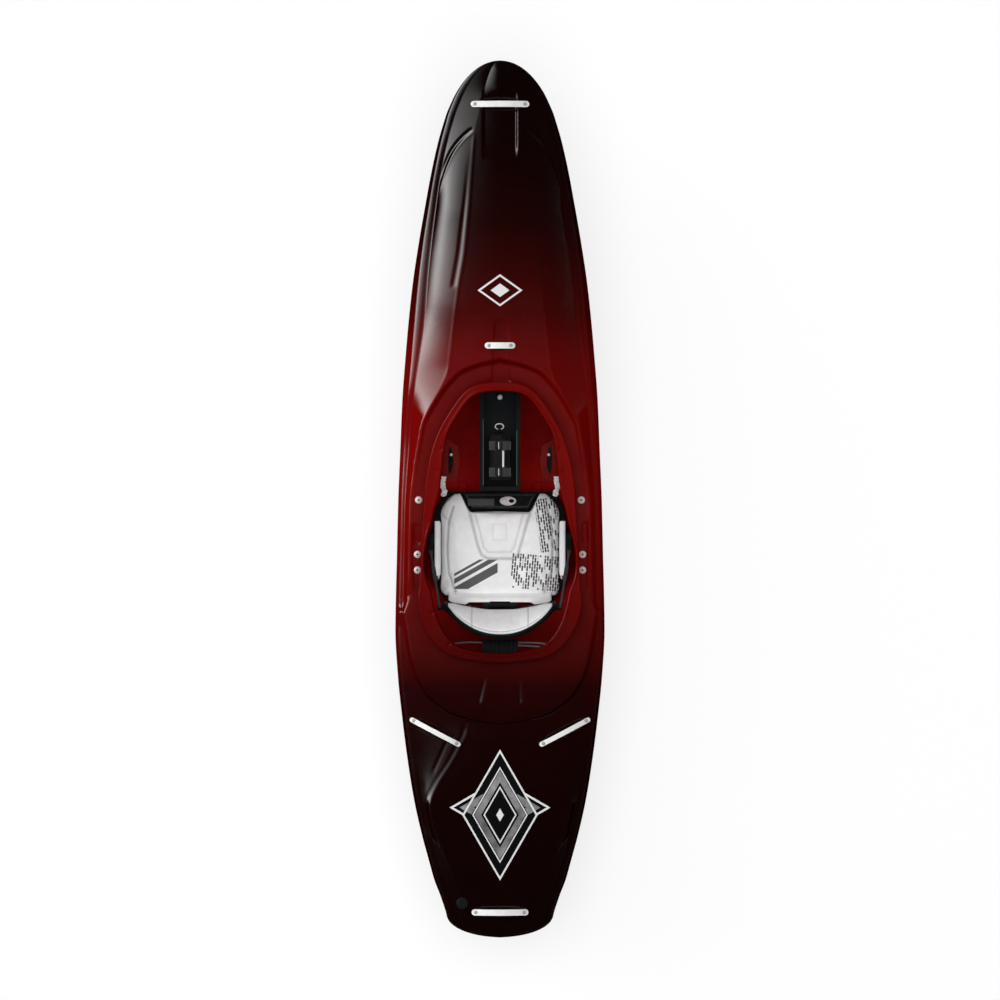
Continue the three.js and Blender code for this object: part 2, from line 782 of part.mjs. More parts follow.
// Room for the screws' tips in the foam under the deck
const screwPockets = [];

// Grab bars stand on the deck: feet at both ends and a finger space between
function grabBar(name, length, width, place, turn) {
  const direction = [Math.cos(turn), Math.sin(turn)];
  const at = (along) => [place[0] + direction[0] * along, place[1] + direction[1] * along];
  const half = length / 2;
  const barRise = barRiseShare * length;
  const deckAt = (along) => deckHeightAt(...at(along));
  const startTop = deckAt(-half) + barFootHeight;
  const endTop = deckAt(half) + barFootHeight;
  const topAt = (along) => {
    const share = (along + half) / length;
    const arch = 1 - (2 * share - 1) ** 2;
    return startTop + (endTop - startTop) * share + barRise * arch;
  };
  const upper = [];
  const lower = [];
  const archSteps = 12;
  const inner = half - barFootLength;
  const floor = Math.min(startTop, endTop) - barRise - overrun;
  for (let step = 0; step <= archSteps; step += 1) {
    const along = -half + (length * step) / archSteps;
    upper.push([along, topAt(along)]);
    const below = inner - (2 * inner * step) / archSteps;
    lower.push([below, topAt(below) - barThickness]);
  }
  const profile = [...upper, [half, floor], [inner, floor], ...lower, [-inner, floor], [-half, floor]];
  const bodyGeometry = extrude(profile, width);
  bodyGeometry.rotateX(Math.PI / 2);
  bodyGeometry.translate(0, width / 2, 0);
  const endRadius = width / 2;
  const outline = [];
  const endSteps = 8;
  for (let step = 0; step <= endSteps; step += 1) {
    const angle = -Math.PI / 2 + (Math.PI * step) / endSteps;
    outline.push([half - endRadius + endRadius * Math.cos(angle), endRadius * Math.sin(angle)]);
  }
  for (let step = 0; step <= endSteps; step += 1) {
    const angle = Math.PI / 2 + (Math.PI * step) / endSteps;
    outline.push([-half + endRadius + endRadius * Math.cos(angle), endRadius * Math.sin(angle)]);
  }
  const ceiling = Math.max(startTop, endTop) + barRise + overrun;
  const outlineGeometry = extrude(outline, ceiling - floor + 2 * overrun);
  outlineGeometry.translate(0, 0, floor - overrun);
  for (const geometry of [bodyGeometry, outlineGeometry]) {
    geometry.rotateZ(turn);
    geometry.translate(place[0], place[1], 0);
  }
  let bar = solidFrom(bodyGeometry).intersect(solidFrom(outlineGeometry)).subtract(liftedHull);
  for (const [end, along] of [['a', -half + barScrewInset], ['b', half - barScrewInset]]) {
    const spot = at(along);
    const seat = topAt(along) - screwSink;
    bar = bar.subtract(post(screwHeadRadius + screwClearance, spot, seat, ceiling));
    const hole = post(screwRadius + screwClearance, spot, floor - overrun, ceiling, holeSides);
    bar = bar.subtract(hole);
    hull = hull.subtract(hole);
    const tip = deckAt(along) - screwLength;
    screwPockets.push(post(screwRadius + screwClearance, spot, tip - screwClearance, ceiling, holeSides));
    const head = [
      [0, 0], [screwHeadRadius, 0], [screwHeadRadius, screwHeadHeight / 2],
      [screwHeadRadius / 2, screwHeadHeight], [0, screwHeadHeight],
    ];
    const screw = turned(head, spot, seat + touchGap, screwSides)
      .add(post(screwRadius, spot, tip, seat + screwHeadHeight / 2, holeSides));
    add(deckGroup, `${name}_screw_${end}`, screw, steel);
  }
  add(deckGroup, name, bar, barWhite);
}
const quarterTurn = Math.PI / 2;
const rearTurn = THREE.MathUtils.degToRad(rearBarTurn);
grabBar('bow_grab_bar', bowBarLength, barWidth, [bowBarPlace, 0], quarterTurn);
grabBar('deck_bar', deckBarLength, barWidth, [deckBarPlace, 0], quarterTurn);
grabBar('stern_grab_bar', sternBarLength, barWidth, [sternBarPlace, 0], quarterTurn);
for (const [name, side] of sides) {
  const place = [rearBarPlace, side * rearBarOut];
  grabBar(`rear_bar_${name}`, rearBarLength, rearBarWidth, place, side * rearTurn);
}

// Dome screws through the deck beside the coaming
function sideScrew(name, place) {
  const height = deckHeightAt(...place);
  const dome = [
    [0, -overrun], [sideScrewHeadRadius, -overrun], [sideScrewHeadRadius, sideScrewHeadHeight / 3],
    [sideScrewHeadRadius * domeTopShare, sideScrewHeadHeight * domeRiseShare], [0, sideScrewHeadHeight],
  ];
  const top = height + sideScrewHeadHeight / 2;
  const head = turned(dome, place, height, domeSides).subtract(liftedHull);
  const stem = post(sideScrewRadius, place, height - shellWall - screwLength, top, holeSides);
  hull = hull.subtract(post(sideScrewRadius + screwClearance, place, deckHeight / 2, top, holeSides));
  add(deckGroup, name, head.add(stem), steel);
}
for (const [name, side] of sides) {
  sideScrewPlaces.forEach((x, index) => {
    sideScrew(`side_screw_${name}_${index + 1}`, [x, side * sideScrewOut]);
  });
}

// Drain: a fixed insert in the deck, a plug that unscrews and a seal under its head
const drainSpot = [drainPlace, drainOut];
const drainDeck = deckHeightAt(...drainSpot);
const insertTop = drainDeck + drainInsertRise + drainInsertRadius / 3;
const drainBore = post(drainStemRadius + drainBoreClearance, drainSpot, 0, deckHeight);
const insertBody = post(drainInsertRadius, drainSpot, drainDeck - overrun, insertTop, roundSides)
  .subtract(liftedHull)
  .add(post(drainStemRadius + drainBoreClearance + shellWall / 2, drainSpot,
    drainDeck - drainStemLength, insertTop - drainInsertRise / 2))
  .subtract(drainBore);
hull = hull.subtract(post(drainStemRadius + drainBoreClearance + shellWall / 2 + screwClearance, drainSpot,
  drainDeck - drainStemLength - overrun, deckHeight));
const sealBase = insertTop + touchGap;
const plugBase = sealBase + drainSealHeight + touchGap;
const seal = post(drainSealRadius, drainSpot, sealBase, sealBase + drainSealHeight).subtract(drainBore);
const plugHead = post(drainHeadRadius, drainSpot, plugBase, plugBase + drainHeadHeight);
const stemBottom = plugBase - drainStemLength;
const plugStem = post(drainStemRadius, drainSpot, stemBottom, plugBase + drainHeadHeight / 2);
const slotHalf = drainSlotWidth / 2;
const slotReach = drainHeadRadius + overrun;
const plugTop = plugBase + drainHeadHeight;
const plugSlot = box(
  [drainPlace - slotReach, drainOut - slotHalf, plugTop - drainSlotDepth],
  [drainPlace + slotReach, drainOut + slotHalf, plugTop + overrun],
);
add(deckGroup, 'drain_insert', insertBody, blackPlastic);
add(deckGroup, 'drain_seal', seal, sealRubber);
add(deckGroup, 'drain_plug', plugHead.add(plugStem).subtract(plugSlot), blackPlastic);

// Seat rails lie on the hull floor
const floorHeight = shellWall + touchGap;
const railTop = floorHeight + railHeight;
for (const [name, side] of sides) {
  const low = [seatRear - railOverhang, railOut - railWidth / 2, 0];
  const high = [seatFront + railOverhang, railOut + railWidth / 2, railTop];
  add(outfitting, `seat_rail_${name}`, fitInside(sideBox(side, low, high)), blackPlastic);
}

// Seat pan: a floor on the rails, two side walls with a shoulder, and a rear wall with the hinge
const seatBottom = railTop + touchGap;
const seatTop = seatBottom + seatFloor;
const seatOuter = seatHalf + seatWall;
const seatOutline = [
  [seatRear, -seatHalf + seatShoulder], [seatRear, seatHalf - seatShoulder],
  [seatSideRear, seatOuter], [seatSideFront, seatOuter], [seatFront, seatHalf - seatShoulder],
  [seatFront, -seatHalf + seatShoulder], [seatSideFront, -seatOuter], [seatSideRear, -seatOuter],
];
const seatHollowHalf = railOut - railWidth / 2 - seatWall;
const seatHollow = box(
  [seatRear + seatHollowInset, -seatHollowHalf, 0],
  [seatFront - seatHollowInset, seatHollowHalf, seatTop - seatWall],
);
let seatPan = plate(seatOutline, seatBottom, seatTop).subtract(seatHollow);
const sideProfile = [
  [seatSideRear, seatBottom + seatFloor / 2], [seatSideFront, seatBottom + seatFloor / 2],
  [seatSideFront - seatShoulder, seatSideHeight], [seatSideRear + seatShoulder, seatSideHeight],
];
const ratchetFront = ratchetRear + ratchetLength;
const ratchetOuter = seatOuter + ladderStrapWidth + 2 * ratchetCheek;
for (const side of [1, -1]) {
  const ys = [side * seatHalf, side * seatOuter].sort((a, b) => a - b);
  seatPan = seatPan.add(slab(sideProfile, ...ys));
  seatPan = seatPan.add(sideBox(
    side,
    [ratchetRear, seatHalf, seatSideHeight - seatWall],
    [ratchetFront, ratchetOuter, seatSideHeight],
  ));
}
const hingePlace = [bandHinge, bandHingeHeight];
const rearWall = box(
  [seatRear, -seatRearWallHalf, seatBottom],
  [seatRear + seatWall, seatRearWallHalf, seatRearWallHeight],
);
const barrelArm = slab([
  [seatRear + seatWall, seatRearWallHeight - 2 * seatWall], [seatRear + seatWall, seatRearWallHeight],
  [bandHinge, bandHingeHeight + hingeRadius / 2], [bandHinge, bandHingeHeight - hingeRadius],
], -hingeMiddleHalf, hingeMiddleHalf);
const pinHalf = hingeMiddleHalf + hingeLugWidth;
seatPan = seatPan.add(rearWall).add(barrelArm)
  .add(crossPin(hingeRadius, hingePlace, -hingeMiddleHalf, hingeMiddleHalf))
  .add(crossPin(hingePinRadius, hingePlace, -pinHalf, pinHalf));
add(seatGroup, 'seat_pan', seatPan, blackPlastic);

// Hip pads line the side walls
for (const [name, side] of sides) {
  const outer = seatHalf - touchGap;
  const profile = [
    [seatSideRear + hipPadClearance, hipPadFloor],
    [seatSideFront - hipPadClearance - seatShoulder / 2, hipPadFloor],
    [seatSideFront - seatShoulder - hipPadClearance, seatSideHeight - hipPadClearance],
    [seatSideRear + seatShoulder, seatSideHeight - hipPadClearance],
  ];
  const ys = [side * outer, side * (outer - hipPadThickness)].sort((a, b) => a - b);
  add(seatGroup, `hip_pad_${name}`, slab(profile, ...ys), blackFoam);
}

// Cushion: crowned, rounded at its corners, with a sewn channel round a panel
const cushionBase = seatTop + touchGap;
const cushionHalf = seatHalf - cushionClearance;
const cushionRows = 26;
function cushionHalfAt(x) {
  const shoulder = ease((x - seatSideFront) / (seatFront - seatSideFront)) * seatShoulder;
  const toEnd = Math.min(x - cushionRear, seatFront - x);
  const corner = Math.max(0, 1 - toEnd / cushionCornerRadius);
  const waist = cushionClearance * Math.sin((Math.PI * (x - cushionRear)) / (seatFront - cushionRear));
  return cushionHalf - shoulder - waist - cushionCornerRadius * (1 - Math.sqrt(1 - corner * corner));
}
function panelHalfAt(x) {
  const along = Math.min(1, Math.max(0, (x - panelRear) / (panelFront - panelRear)));
  return panelRearHalf + (panelFrontHalf - panelRearHalf) * along;
}
function cushionTopAt(x, y) {
  const across = Math.abs(y) / cushionHalfAt(x);
  const toEnd = Math.min(x - cushionRear, seatFront - x) / cushionCornerRadius;
  const ends = Math.sqrt(1 - (1 - Math.min(1, toEnd)) ** 2);
  const body = Math.sqrt(Math.max(0, 1 - across ** 4)) * ends;
  const sideGap = Math.abs(Math.abs(y) - panelHalfAt(x));
  const endGap = Math.min(Math.abs(x - panelFront), Math.abs(x - panelRear));
  const beyondEnds = Math.max(0, x - panelFront, panelRear - x);
  const beyondSide = Math.max(0, Math.abs(y) - panelHalfAt(x));
  const gap = Math.min(Math.hypot(sideGap, beyondEnds), Math.hypot(endGap, beyondSide));
  const groove = panelGroove * Math.max(0, 1 - gap / panelGrooveWidth);
  return cushionBase + cushionEdge + cushionCrown * body - groove * body;
}
function cushionSolid() {
  const rowPlaces = [];
  for (let row = 0; row <= cushionRows; row += 1) {
    const turn = Math.PI * (row / cushionRows);
    const share = (1 - Math.cos(turn)) / 2;
    rowPlaces.push(cushionRear + (seatFront - cushionRear) * share);
  }
  for (const edge of [panelFront, panelRear]) {
    for (const shift of [-panelGrooveWidth, 0, panelGrooveWidth]) {
      const target = edge + shift;
      const nearest = rowPlaces.reduce((best, place, index) => (
        Math.abs(place - target) < Math.abs(rowPlaces[best] - target) ? index : best), 0);
      rowPlaces[nearest] = target;
    }
  }
  rowPlaces.sort((a, b) => a - b);
  const rings = [];
  for (const x of rowPlaces) {
    const half = cushionHalfAt(x);
    const panel = Math.min(panelHalfAt(x), half / 2);
    const lines = [
      0, panel / 2, panel - panelGrooveWidth, panel, panel + panelGrooveWidth,
      (panel + half) / 2, ...cushionSideShares.map((share) => share * half),
    ];
    const across = [...lines.slice(1).reverse().map((y) => -y), ...lines];
    const topLine = across.map((y) => [x, y, cushionTopAt(x, y)]);
    const equator = cushionBase + cushionEdge;
    const inset = Math.min(cushionEdge, half / 4);
    const lowLine = [[x, half - inset, cushionBase], [x, 0, cushionBase], [x, -half + inset, cushionBase]];
    rings.push([[x, -half, equator], ...topLine, [x, half, equator], ...lowLine]);
  }
  return loft(rings);
}
const lifterSpread = (lifterFrontHalf - lifterRearHalf) / (seatFront - lifterRear);
const notchRearHalf = lifterRearHalf + lifterClearance;
const notchFrontHalf = lifterFrontHalf + lifterClearance + lifterSpread * overrun;
const lifterNotch = plate([
  [lifterRear - lifterClearance, notchRearHalf], [seatFront + overrun, notchFrontHalf],
  [seatFront + overrun, -notchFrontHalf], [lifterRear - lifterClearance, -notchRearHalf],
], seatBottom, deckHeight);
add(seatGroup, 'seat_cushion', cushionSolid().subtract(lifterNotch), paleCloth);

// Leg lifter: a wedge that tilts up about its rear lower edge, with a buckle on it
const lifterBase = seatTop + touchGap;
const lifterTop = lifterBase + lifterHeight;
const lifterBevel = lifterHeight / 4;
const lifterOutline = [
  [lifterRear, lifterRearHalf], [seatFront, lifterFrontHalf],
  [seatFront, -lifterFrontHalf], [lifterRear, -lifterRearHalf],
];
const lifterProfile = [
  [lifterRear, lifterBase], [seatFront, lifterBase], [seatFront, lifterTop - lifterBevel],
  [seatFront - lifterBevel, lifterTop], [lifterRear + lifterBevel, lifterTop],
];
const legLifter = plate(lifterOutline, lifterBase, lifterTop)
  .intersect(slab(lifterProfile, -lifterFrontHalf, lifterFrontHalf));
add(seatGroup, 'leg_lifter', legLifter, blackPlastic);
const buckleBase = lifterTop + touchGap;
const lifterMiddle = (lifterRear + seatFront) / 2;
const buckleShape = [];
const buckleSteps = 12;
for (let step = 0; step < buckleSteps; step += 1) {
  const angle = (2 * Math.PI * step) / buckleSteps;
  buckleShape.push([
    lifterMiddle + (buckleLength / 2) * Math.cos(angle),
    buckleOut + (buckleWidth / 2) * Math.sin(angle),
  ]);
}
add(seatGroup, 'lifter_buckle', plate(buckleShape, buckleBase, buckleBase + buckleHeight), steel);

// Backband: a curved pad in front of a stiff plate that is hinged on the seat's rear wall.
// The faces that lie on each other are listed first, so that they are split into the same triangles.
const bandSteps = 16;
const bandLevels = 5;
function bandPoint(across, level, depth) {
  const out = Math.abs(across);
  const lowX = bandLowPlace + bandLowEndShift * out ** 2;
  const topX = bandTopPlace + bandTopEndShift * out ** bandTopBend;
  const lowZ = bandLowHeight + bandLowEndRise * out ** 2;
  const topZ = bandTopHeight - bandTopEndDrop * out ** 2;
  const slopeLength = Math.hypot(topX - lowX, topZ - lowZ);
  const backX = -(topZ - lowZ) / slopeLength;
  const backZ = (topX - lowX) / slopeLength;
  return [
    lowX + (topX - lowX) * level + backX * depth,
    across * bandHalf,
    lowZ + (topZ - lowZ) * level + backZ * depth,
  ];
}
function bandBody(innerAt, outerAt, endShares, lowLevels) {
  const rings = [];
  const places = Array.from({ length: bandSteps + 1 }, (_, step) => -1 + (2 * step) / bandSteps);
  const levels = Array.from({ length: bandLevels + 1 }, (_, row) => row / bandLevels);
  for (const across of [...endShares.map((share) => -share), ...places, ...endShares]) {
    const inner = [];
    const outer = [];
    for (const level of [...lowLevels, ...levels]) {
      inner.push(bandPoint(across, level, innerAt(across, level)));
      outer.unshift(bandPoint(across, level, outerAt(across, level)));
    }
    rings.push([...inner, ...outer]);
  }
  return loft(rings);
}
const bandPadBack = () => bandPadThickness;
const bandPadFront = (across, level) => {
  const rows = Math.sqrt(Math.max(0, 1 - (2 * level - 1) ** 4));
  const ends = Math.sqrt(Math.max(0, 1 - across ** 6));
  return bandPadThickness * bandPadCrownShare * (1 - rows * ends);
};
add(seatGroup, 'backband_pad', bandBody(bandPadBack, bandPadFront, [], []), paleCloth);
const plateFront = bandPadThickness + touchGap;
const shelfShare = 0.7;
const lugShare = 0.09;
const lugDepthShare = 0.6;
const shelfTip = bandPoint(1, shelfShare, plateFront + bandPlateThickness / 2);
const plateEnd = 1 + strapShelfThickness / bandHalf;
let bandPlate = bandBody(
  () => plateFront, () => plateFront + bandPlateThickness, [plateEnd], [-lugShare]);
for (const side of [1, -1]) {
  const inner = hingeMiddleHalf + touchGap;
  const outer = hingeMiddleHalf + hingeLugWidth;
  const ys = [side * inner, side * outer].sort((a, b) => a - b);
  const lugDepth = plateFront + bandPlateThickness * lugDepthShare;
  const lugLow = bandPoint(outer / bandHalf, -lugShare, lugDepth);
  const lugHigh = bandPoint(outer / bandHalf, -lugShare / 4, lugDepth);
  bandPlate = bandPlate.add(slab([
    [bandHinge, bandHingeHeight - hingeRadius / 2], [lugLow[0], lugLow[2]],
    [lugHigh[0], lugHigh[2]], [bandHinge, bandHingeHeight + hingeRadius / 3],
  ], ...ys));
  bandPlate = bandPlate.add(crossPin(hingeRadius, hingePlace, ...ys));
  const shelfTop = shelfTip[2] + strapShelfThickness / 2;
  bandPlate = bandPlate.add(sideBox(
    side,
    [shelfTip[0] - ladderStrapWidth / 2, bandHalf + touchGap, shelfTop - strapShelfThickness],
    [shelfTip[0] + ladderStrapWidth, shelfTip[1] + strapShelfWidth, shelfTop],
  ));
}
bandPlate = bandPlate.subtract(crossPin(
  hingePinRadius + hingeBoreClearance, hingePlace, -bandHalf, bandHalf));
add(seatGroup, 'backband_shell', bandPlate, blackPlastic);

// Ratchets on the shoulders of the seat, with levers, and ladder straps back to the backband
const ratchetBase = seatSideHeight + touchGap;
const ratchetLevel = ratchetBase + ratchetBaseHeight;
const strapLevel = ratchetLevel + touchGap;
const leverBottom = strapLevel + ladderStrapThickness + touchGap;
const leverAxisHeight = leverBottom + leverBarrelRadius;
const leverAxisPlace = ratchetFront - 2 * leverBarrelRadius;
const leverCheekTop = leverAxisHeight + leverBarrelRadius;
for (const [name, side] of sides) {
  const low = ratchetOuter - 2 * ratchetCheek - ladderStrapWidth;
  const high = ratchetOuter;
  let base = sideBox(side, [ratchetRear, low, ratchetBase], [ratchetFront, high, ratchetLevel]);
  const cheekRear = leverAxisPlace - 2 * leverBarrelRadius;
  for (const start of [low, high - ratchetCheek]) {
    const cheekEnd = [ratchetFront, start + ratchetCheek, leverCheekTop];
    base = base.add(sideBox(side, [cheekRear, start, ratchetBase], cheekEnd));
  }
  const axis = [leverAxisPlace, leverAxisHeight];
  base = base.subtract(crossPin(leverPinRadius + hingeBoreClearance, axis, -boatBeam, boatBeam, holeSides));
  add(seatGroup, `ratchet_base_${name}`, base, blackPlastic);
  const gap = screwClearance;
  const leverLow = low + ratchetCheek + gap;
  const leverHigh = high - ratchetCheek - gap;
  const ys = [side * leverLow, side * leverHigh].sort((a, b) => a - b);
  const pinYs = [side * (low + gap), side * (high - gap)].sort((a, b) => a - b);
  const lever = sideBox(
    side,
    [ratchetRear - ladderStrapWidth / 2, leverLow, leverBottom],
    [leverAxisPlace, leverHigh, leverBottom + leverThickness],
  ).add(crossPin(leverBarrelRadius, axis, ...ys)).add(crossPin(leverPinRadius, axis, ...pinYs, holeSides));
  add(seatGroup, `ratchet_lever_${name}`, lever, blackPlastic);
  const strapLow = leverLow;
  const strapHigh = leverHigh;
  const run = [
    [cheekRear, strapLow], [cheekRear, strapHigh],
    [ratchetRear - ladderStrapWidth, strapHigh],
    [shelfTip[0] + ladderStrapWidth, shelfTip[1] + strapShelfWidth],
    [shelfTip[0], shelfTip[1] + strapShelfWidth],
    [shelfTip[0], shelfTip[1] + strapShelfWidth - strapHigh + strapLow],
    [ratchetRear - ladderStrapWidth / 2, strapLow],
  ].map(([x, y]) => [x, side * y]);
  const ladder = plate(run, strapLevel, strapLevel + ladderStrapThickness);
  add(seatGroup, `ladder_strap_${name}`, ladder, greyWebbing);
}

// Front pillar: a foam wall from the floor to the deck, lower in the cockpit, with a tray in its top
const trayFloor = pillarTopHeight - trayDepth;
const pillarProfile = [
  [pillarRear, 0], [pillarFront, 0], [pillarFront, deckHeight], [pillarStepFront, deckHeight],
  [pillarStepFront - trayWall, pillarTopHeight], [pillarRear, pillarTopHeight],
];
const trayCut = box(
  [pillarRear + trayWall, -pillarHalf + trayWall, trayFloor],
  [trayFront + trayWall, pillarHalf - trayWall, pillarTopHeight + overrun],
);
let pillar = fitInside(slab(pillarProfile, -pillarHalf, pillarHalf)).subtract(trayCut);
for (const pocket of screwPockets) pillar = pillar.subtract(pocket);
add(outfitting, 'front_pillar', pillar, blackFoam);

// Foam roll in the tray, under two webbing bands
const rollCentre = trayFloor + rollCentreRise;
const rollOutline = [
  [rollRear, 0], [rollRear, rollRadius * rollRoundShare], [rollRear + rollRadius / 4, rollRadius],
  [rollFront - rollRadius / 4, rollRadius], [rollFront, rollRadius * rollRoundShare], [rollFront, 0],
];
const rollGeometry = new THREE.LatheGeometry(
  rollOutline.map(([along, radius]) => new THREE.Vector2(radius, along)), roundSides);
rollGeometry.rotateZ(-Math.PI / 2);
rollGeometry.translate(0, 0, rollCentre);
add(outfitting, 'pillar_roll', solidFrom(rollGeometry), blackFoam);
function rollBand(name, place) {
  const bandGap = touchGap + screwClearance;
  const innerRadius = rollRadius + bandGap;
  const outerRadius = innerRadius + strapBandThickness;
  const halfWidth = strapBandWidth / 2;
  const outer = [];
  const inner = [];
  const arcSteps = 10;
  for (let step = 0; step <= arcSteps; step += 1) {
    const angle = (Math.PI * step) / arcSteps;
    outer.push([outerRadius * Math.cos(angle), rollCentre + outerRadius * Math.sin(angle)]);
    inner.unshift([innerRadius * Math.cos(angle), rollCentre + innerRadius * Math.sin(angle)]);
  }
  const foot = trayFloor + touchGap;
  const outline = [
    [outerRadius, foot], ...outer, [-outerRadius, foot],
    [-innerRadius, foot], ...inner, [innerRadius, foot],
  ];
  add(outfitting, name, beam(outline, place - halfWidth, place + halfWidth), greyWebbing);
}
rollBand('pillar_strap_front', frontBandPlace);
rollBand('pillar_strap_rear', rearBandPlace + strapBandWidth / 2);

// A bolt and a clip on the floor of the tray
const boltBase = trayFloor + touchGap;
const boltHead = new THREE.SphereGeometry(boltRadius, roundSides, holeSides);
boltHead.rotateX(Math.PI / 2);
boltHead.translate(boltPlace, 0, boltBase + boltStemHeight + boltRadius / 2);
const boltStem = post(boltRadius / 2, [boltPlace, 0], boltBase, boltBase + boltStemHeight);
const bolt = solidFrom(boltHead).add(boltStem);
add(outfitting, 'tray_bolt', bolt, steel);
const clipBody = box(
  [clipPlace - clipLength / 2, -clipWidth / 2, boltBase],
  [clipPlace + clipLength / 2, clipWidth / 2, boltBase + clipHeight],
);
add(outfitting, 'tray_clip', clipBody, steel);

// Rear pillar behind the backband
const rearProfile = [
  [rearPillarFront, 0], [rearPillarFront, rearPillarShoulder],
  [rearPillarTopFront, rearPillarTopHeight], [rearPillarStep + trayWall, rearPillarTopHeight],
  [rearPillarStep, deckHeight], [rearPillarRear, deckHeight], [rearPillarRear, 0],
];
add(outfitting, 'rear_pillar', fitInside(slab(rearProfile, -rearPillarHalf, rearPillarHalf)), blackFoam);

// Thigh braces: a bracket under the deck, a plate that slides below it and a foam pad under the plate
const braceTop = braceHeight + braceThickness;
const braceLength = braceFront - braceRear;
const bracketOuter = bracketInner + bracketWidth;
const bracketBottom = braceTop + touchGap;
for (const [name, side] of sides) {
  const low = [bracketRear, bracketInner, bracketBottom];
  const block = sideBox(side, low, [bracketFront, bracketOuter, deckHeight]);
  add(outfitting, `thigh_bracket_${name}`, fitInside(block), blackPlastic);
  const outline = [
    [braceRear, braceOuter], [braceFront, braceOuter], [braceFront, bracketInner],
    [braceRear + braceLength * braceHookShare, braceInner + bracePadInset],
    [braceRear + braceLength * braceCornerShare, braceInner],
    [braceRear + bracePadInset, braceInner + bracePadInset], [braceRear, braceInner + bracketWidth],
  ].map(([x, y]) => [x, side * y]);
  add(outfitting, `thigh_brace_${name}`, plate(outline, braceHeight, braceTop), braceRed);
  const padOutline = [
    [braceRear + bracePadInset, bracketInner - bracePadInset],
    [braceFront - 2 * bracePadInset, bracketInner - bracePadInset],
    [braceRear + braceLength * braceHookShare - bracePadInset, braceInner + 2 * bracePadInset],
    [braceRear + braceLength * braceCornerShare, braceInner + bracePadInset],
    [braceRear + 2 * bracePadInset, braceInner + 2 * bracePadInset],
  ].map(([x, y]) => [x, side * y]);
  const padTop = braceHeight - touchGap;
  add(outfitting, `thigh_pad_${name}`, plate(padOutline, padTop - bracePadThickness, padTop), blackFoam);
}

// Foot rails on the hull sides, with plates that slide along them
const footTurn = THREE.MathUtils.degToRad(footRailTurn);
for (const [name, side] of sides) {
  const lean = -side * footTurn;
  const origin = [footRailRear, side * footRailOut];
  const railRight = new THREE.BoxGeometry(footRailLength, footRailOut, footRailHeight);
  railRight.translate(footRailLength / 2, (side * footRailOut) / 2, footRailFloor + footRailHeight / 2);
  railRight.rotateZ(lean);
  railRight.translate(origin[0], origin[1], 0);
  add(outfitting, `foot_rail_${name}`, fitInside(solidFrom(railRight)), blackPlastic);
  const along = (footPlatePlace - footRailRear) / Math.cos(footTurn);
  const plateSize = [footPlateThickness, footPlateWidth, footPlateHeight];
  const footPlate = new THREE.BoxGeometry(...plateSize);
  const plateMiddle = -side * (touchGap + footPlateWidth / 2);
  footPlate.translate(along, plateMiddle, footPlateFloor + footPlateHeight / 2);
  const padSize = [footPadThickness, footPlateWidth - 2 * footPadInset, footPlateHeight - 2 * footPadInset];
  const footPad = new THREE.BoxGeometry(...padSize);
  const padPlace = along - footPlateThickness / 2 - touchGap - footPadThickness / 2;
  footPad.translate(padPlace, plateMiddle, footPlateFloor + footPlateHeight / 2);
  for (const geometry of [footPlate, footPad]) {
    geometry.rotateZ(lean);
    geometry.translate(origin[0], origin[1], 0);
  }
  add(outfitting, `footplate_${name}`, solidFrom(footPlate), blackPlastic);
  add(outfitting, `foot_pad_${name}`, solidFrom(footPad), blackFoam);
}

add(boat, 'hull_shell', hull, hullRed);

export default boat;
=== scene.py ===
"""Whitewater kayak seen from above: the looks round the fixed frame.

Lengths are in millimetres until a mesh is made.
"""

import json
import math

import bmesh
import bpy
import numpy as np
from mathutils import Matrix, Vector


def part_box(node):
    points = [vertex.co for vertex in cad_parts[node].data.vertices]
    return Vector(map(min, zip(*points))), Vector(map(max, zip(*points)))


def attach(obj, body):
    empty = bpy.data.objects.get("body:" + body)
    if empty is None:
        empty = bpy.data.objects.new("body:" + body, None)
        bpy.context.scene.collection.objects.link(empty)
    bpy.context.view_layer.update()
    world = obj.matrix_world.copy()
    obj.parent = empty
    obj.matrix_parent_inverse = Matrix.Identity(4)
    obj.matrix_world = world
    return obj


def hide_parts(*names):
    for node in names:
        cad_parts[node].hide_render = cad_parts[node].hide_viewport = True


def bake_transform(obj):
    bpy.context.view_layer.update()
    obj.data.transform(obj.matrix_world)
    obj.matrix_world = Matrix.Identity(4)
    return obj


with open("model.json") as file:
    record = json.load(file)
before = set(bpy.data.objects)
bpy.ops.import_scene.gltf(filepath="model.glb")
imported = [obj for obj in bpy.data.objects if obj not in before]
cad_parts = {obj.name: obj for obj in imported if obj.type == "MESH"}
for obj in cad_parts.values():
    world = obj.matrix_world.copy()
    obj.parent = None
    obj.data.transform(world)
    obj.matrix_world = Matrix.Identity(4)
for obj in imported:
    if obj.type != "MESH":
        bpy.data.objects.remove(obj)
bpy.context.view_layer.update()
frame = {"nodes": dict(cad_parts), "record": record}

MM = 0.001
both_sides = (("left", 1), ("right", -1))

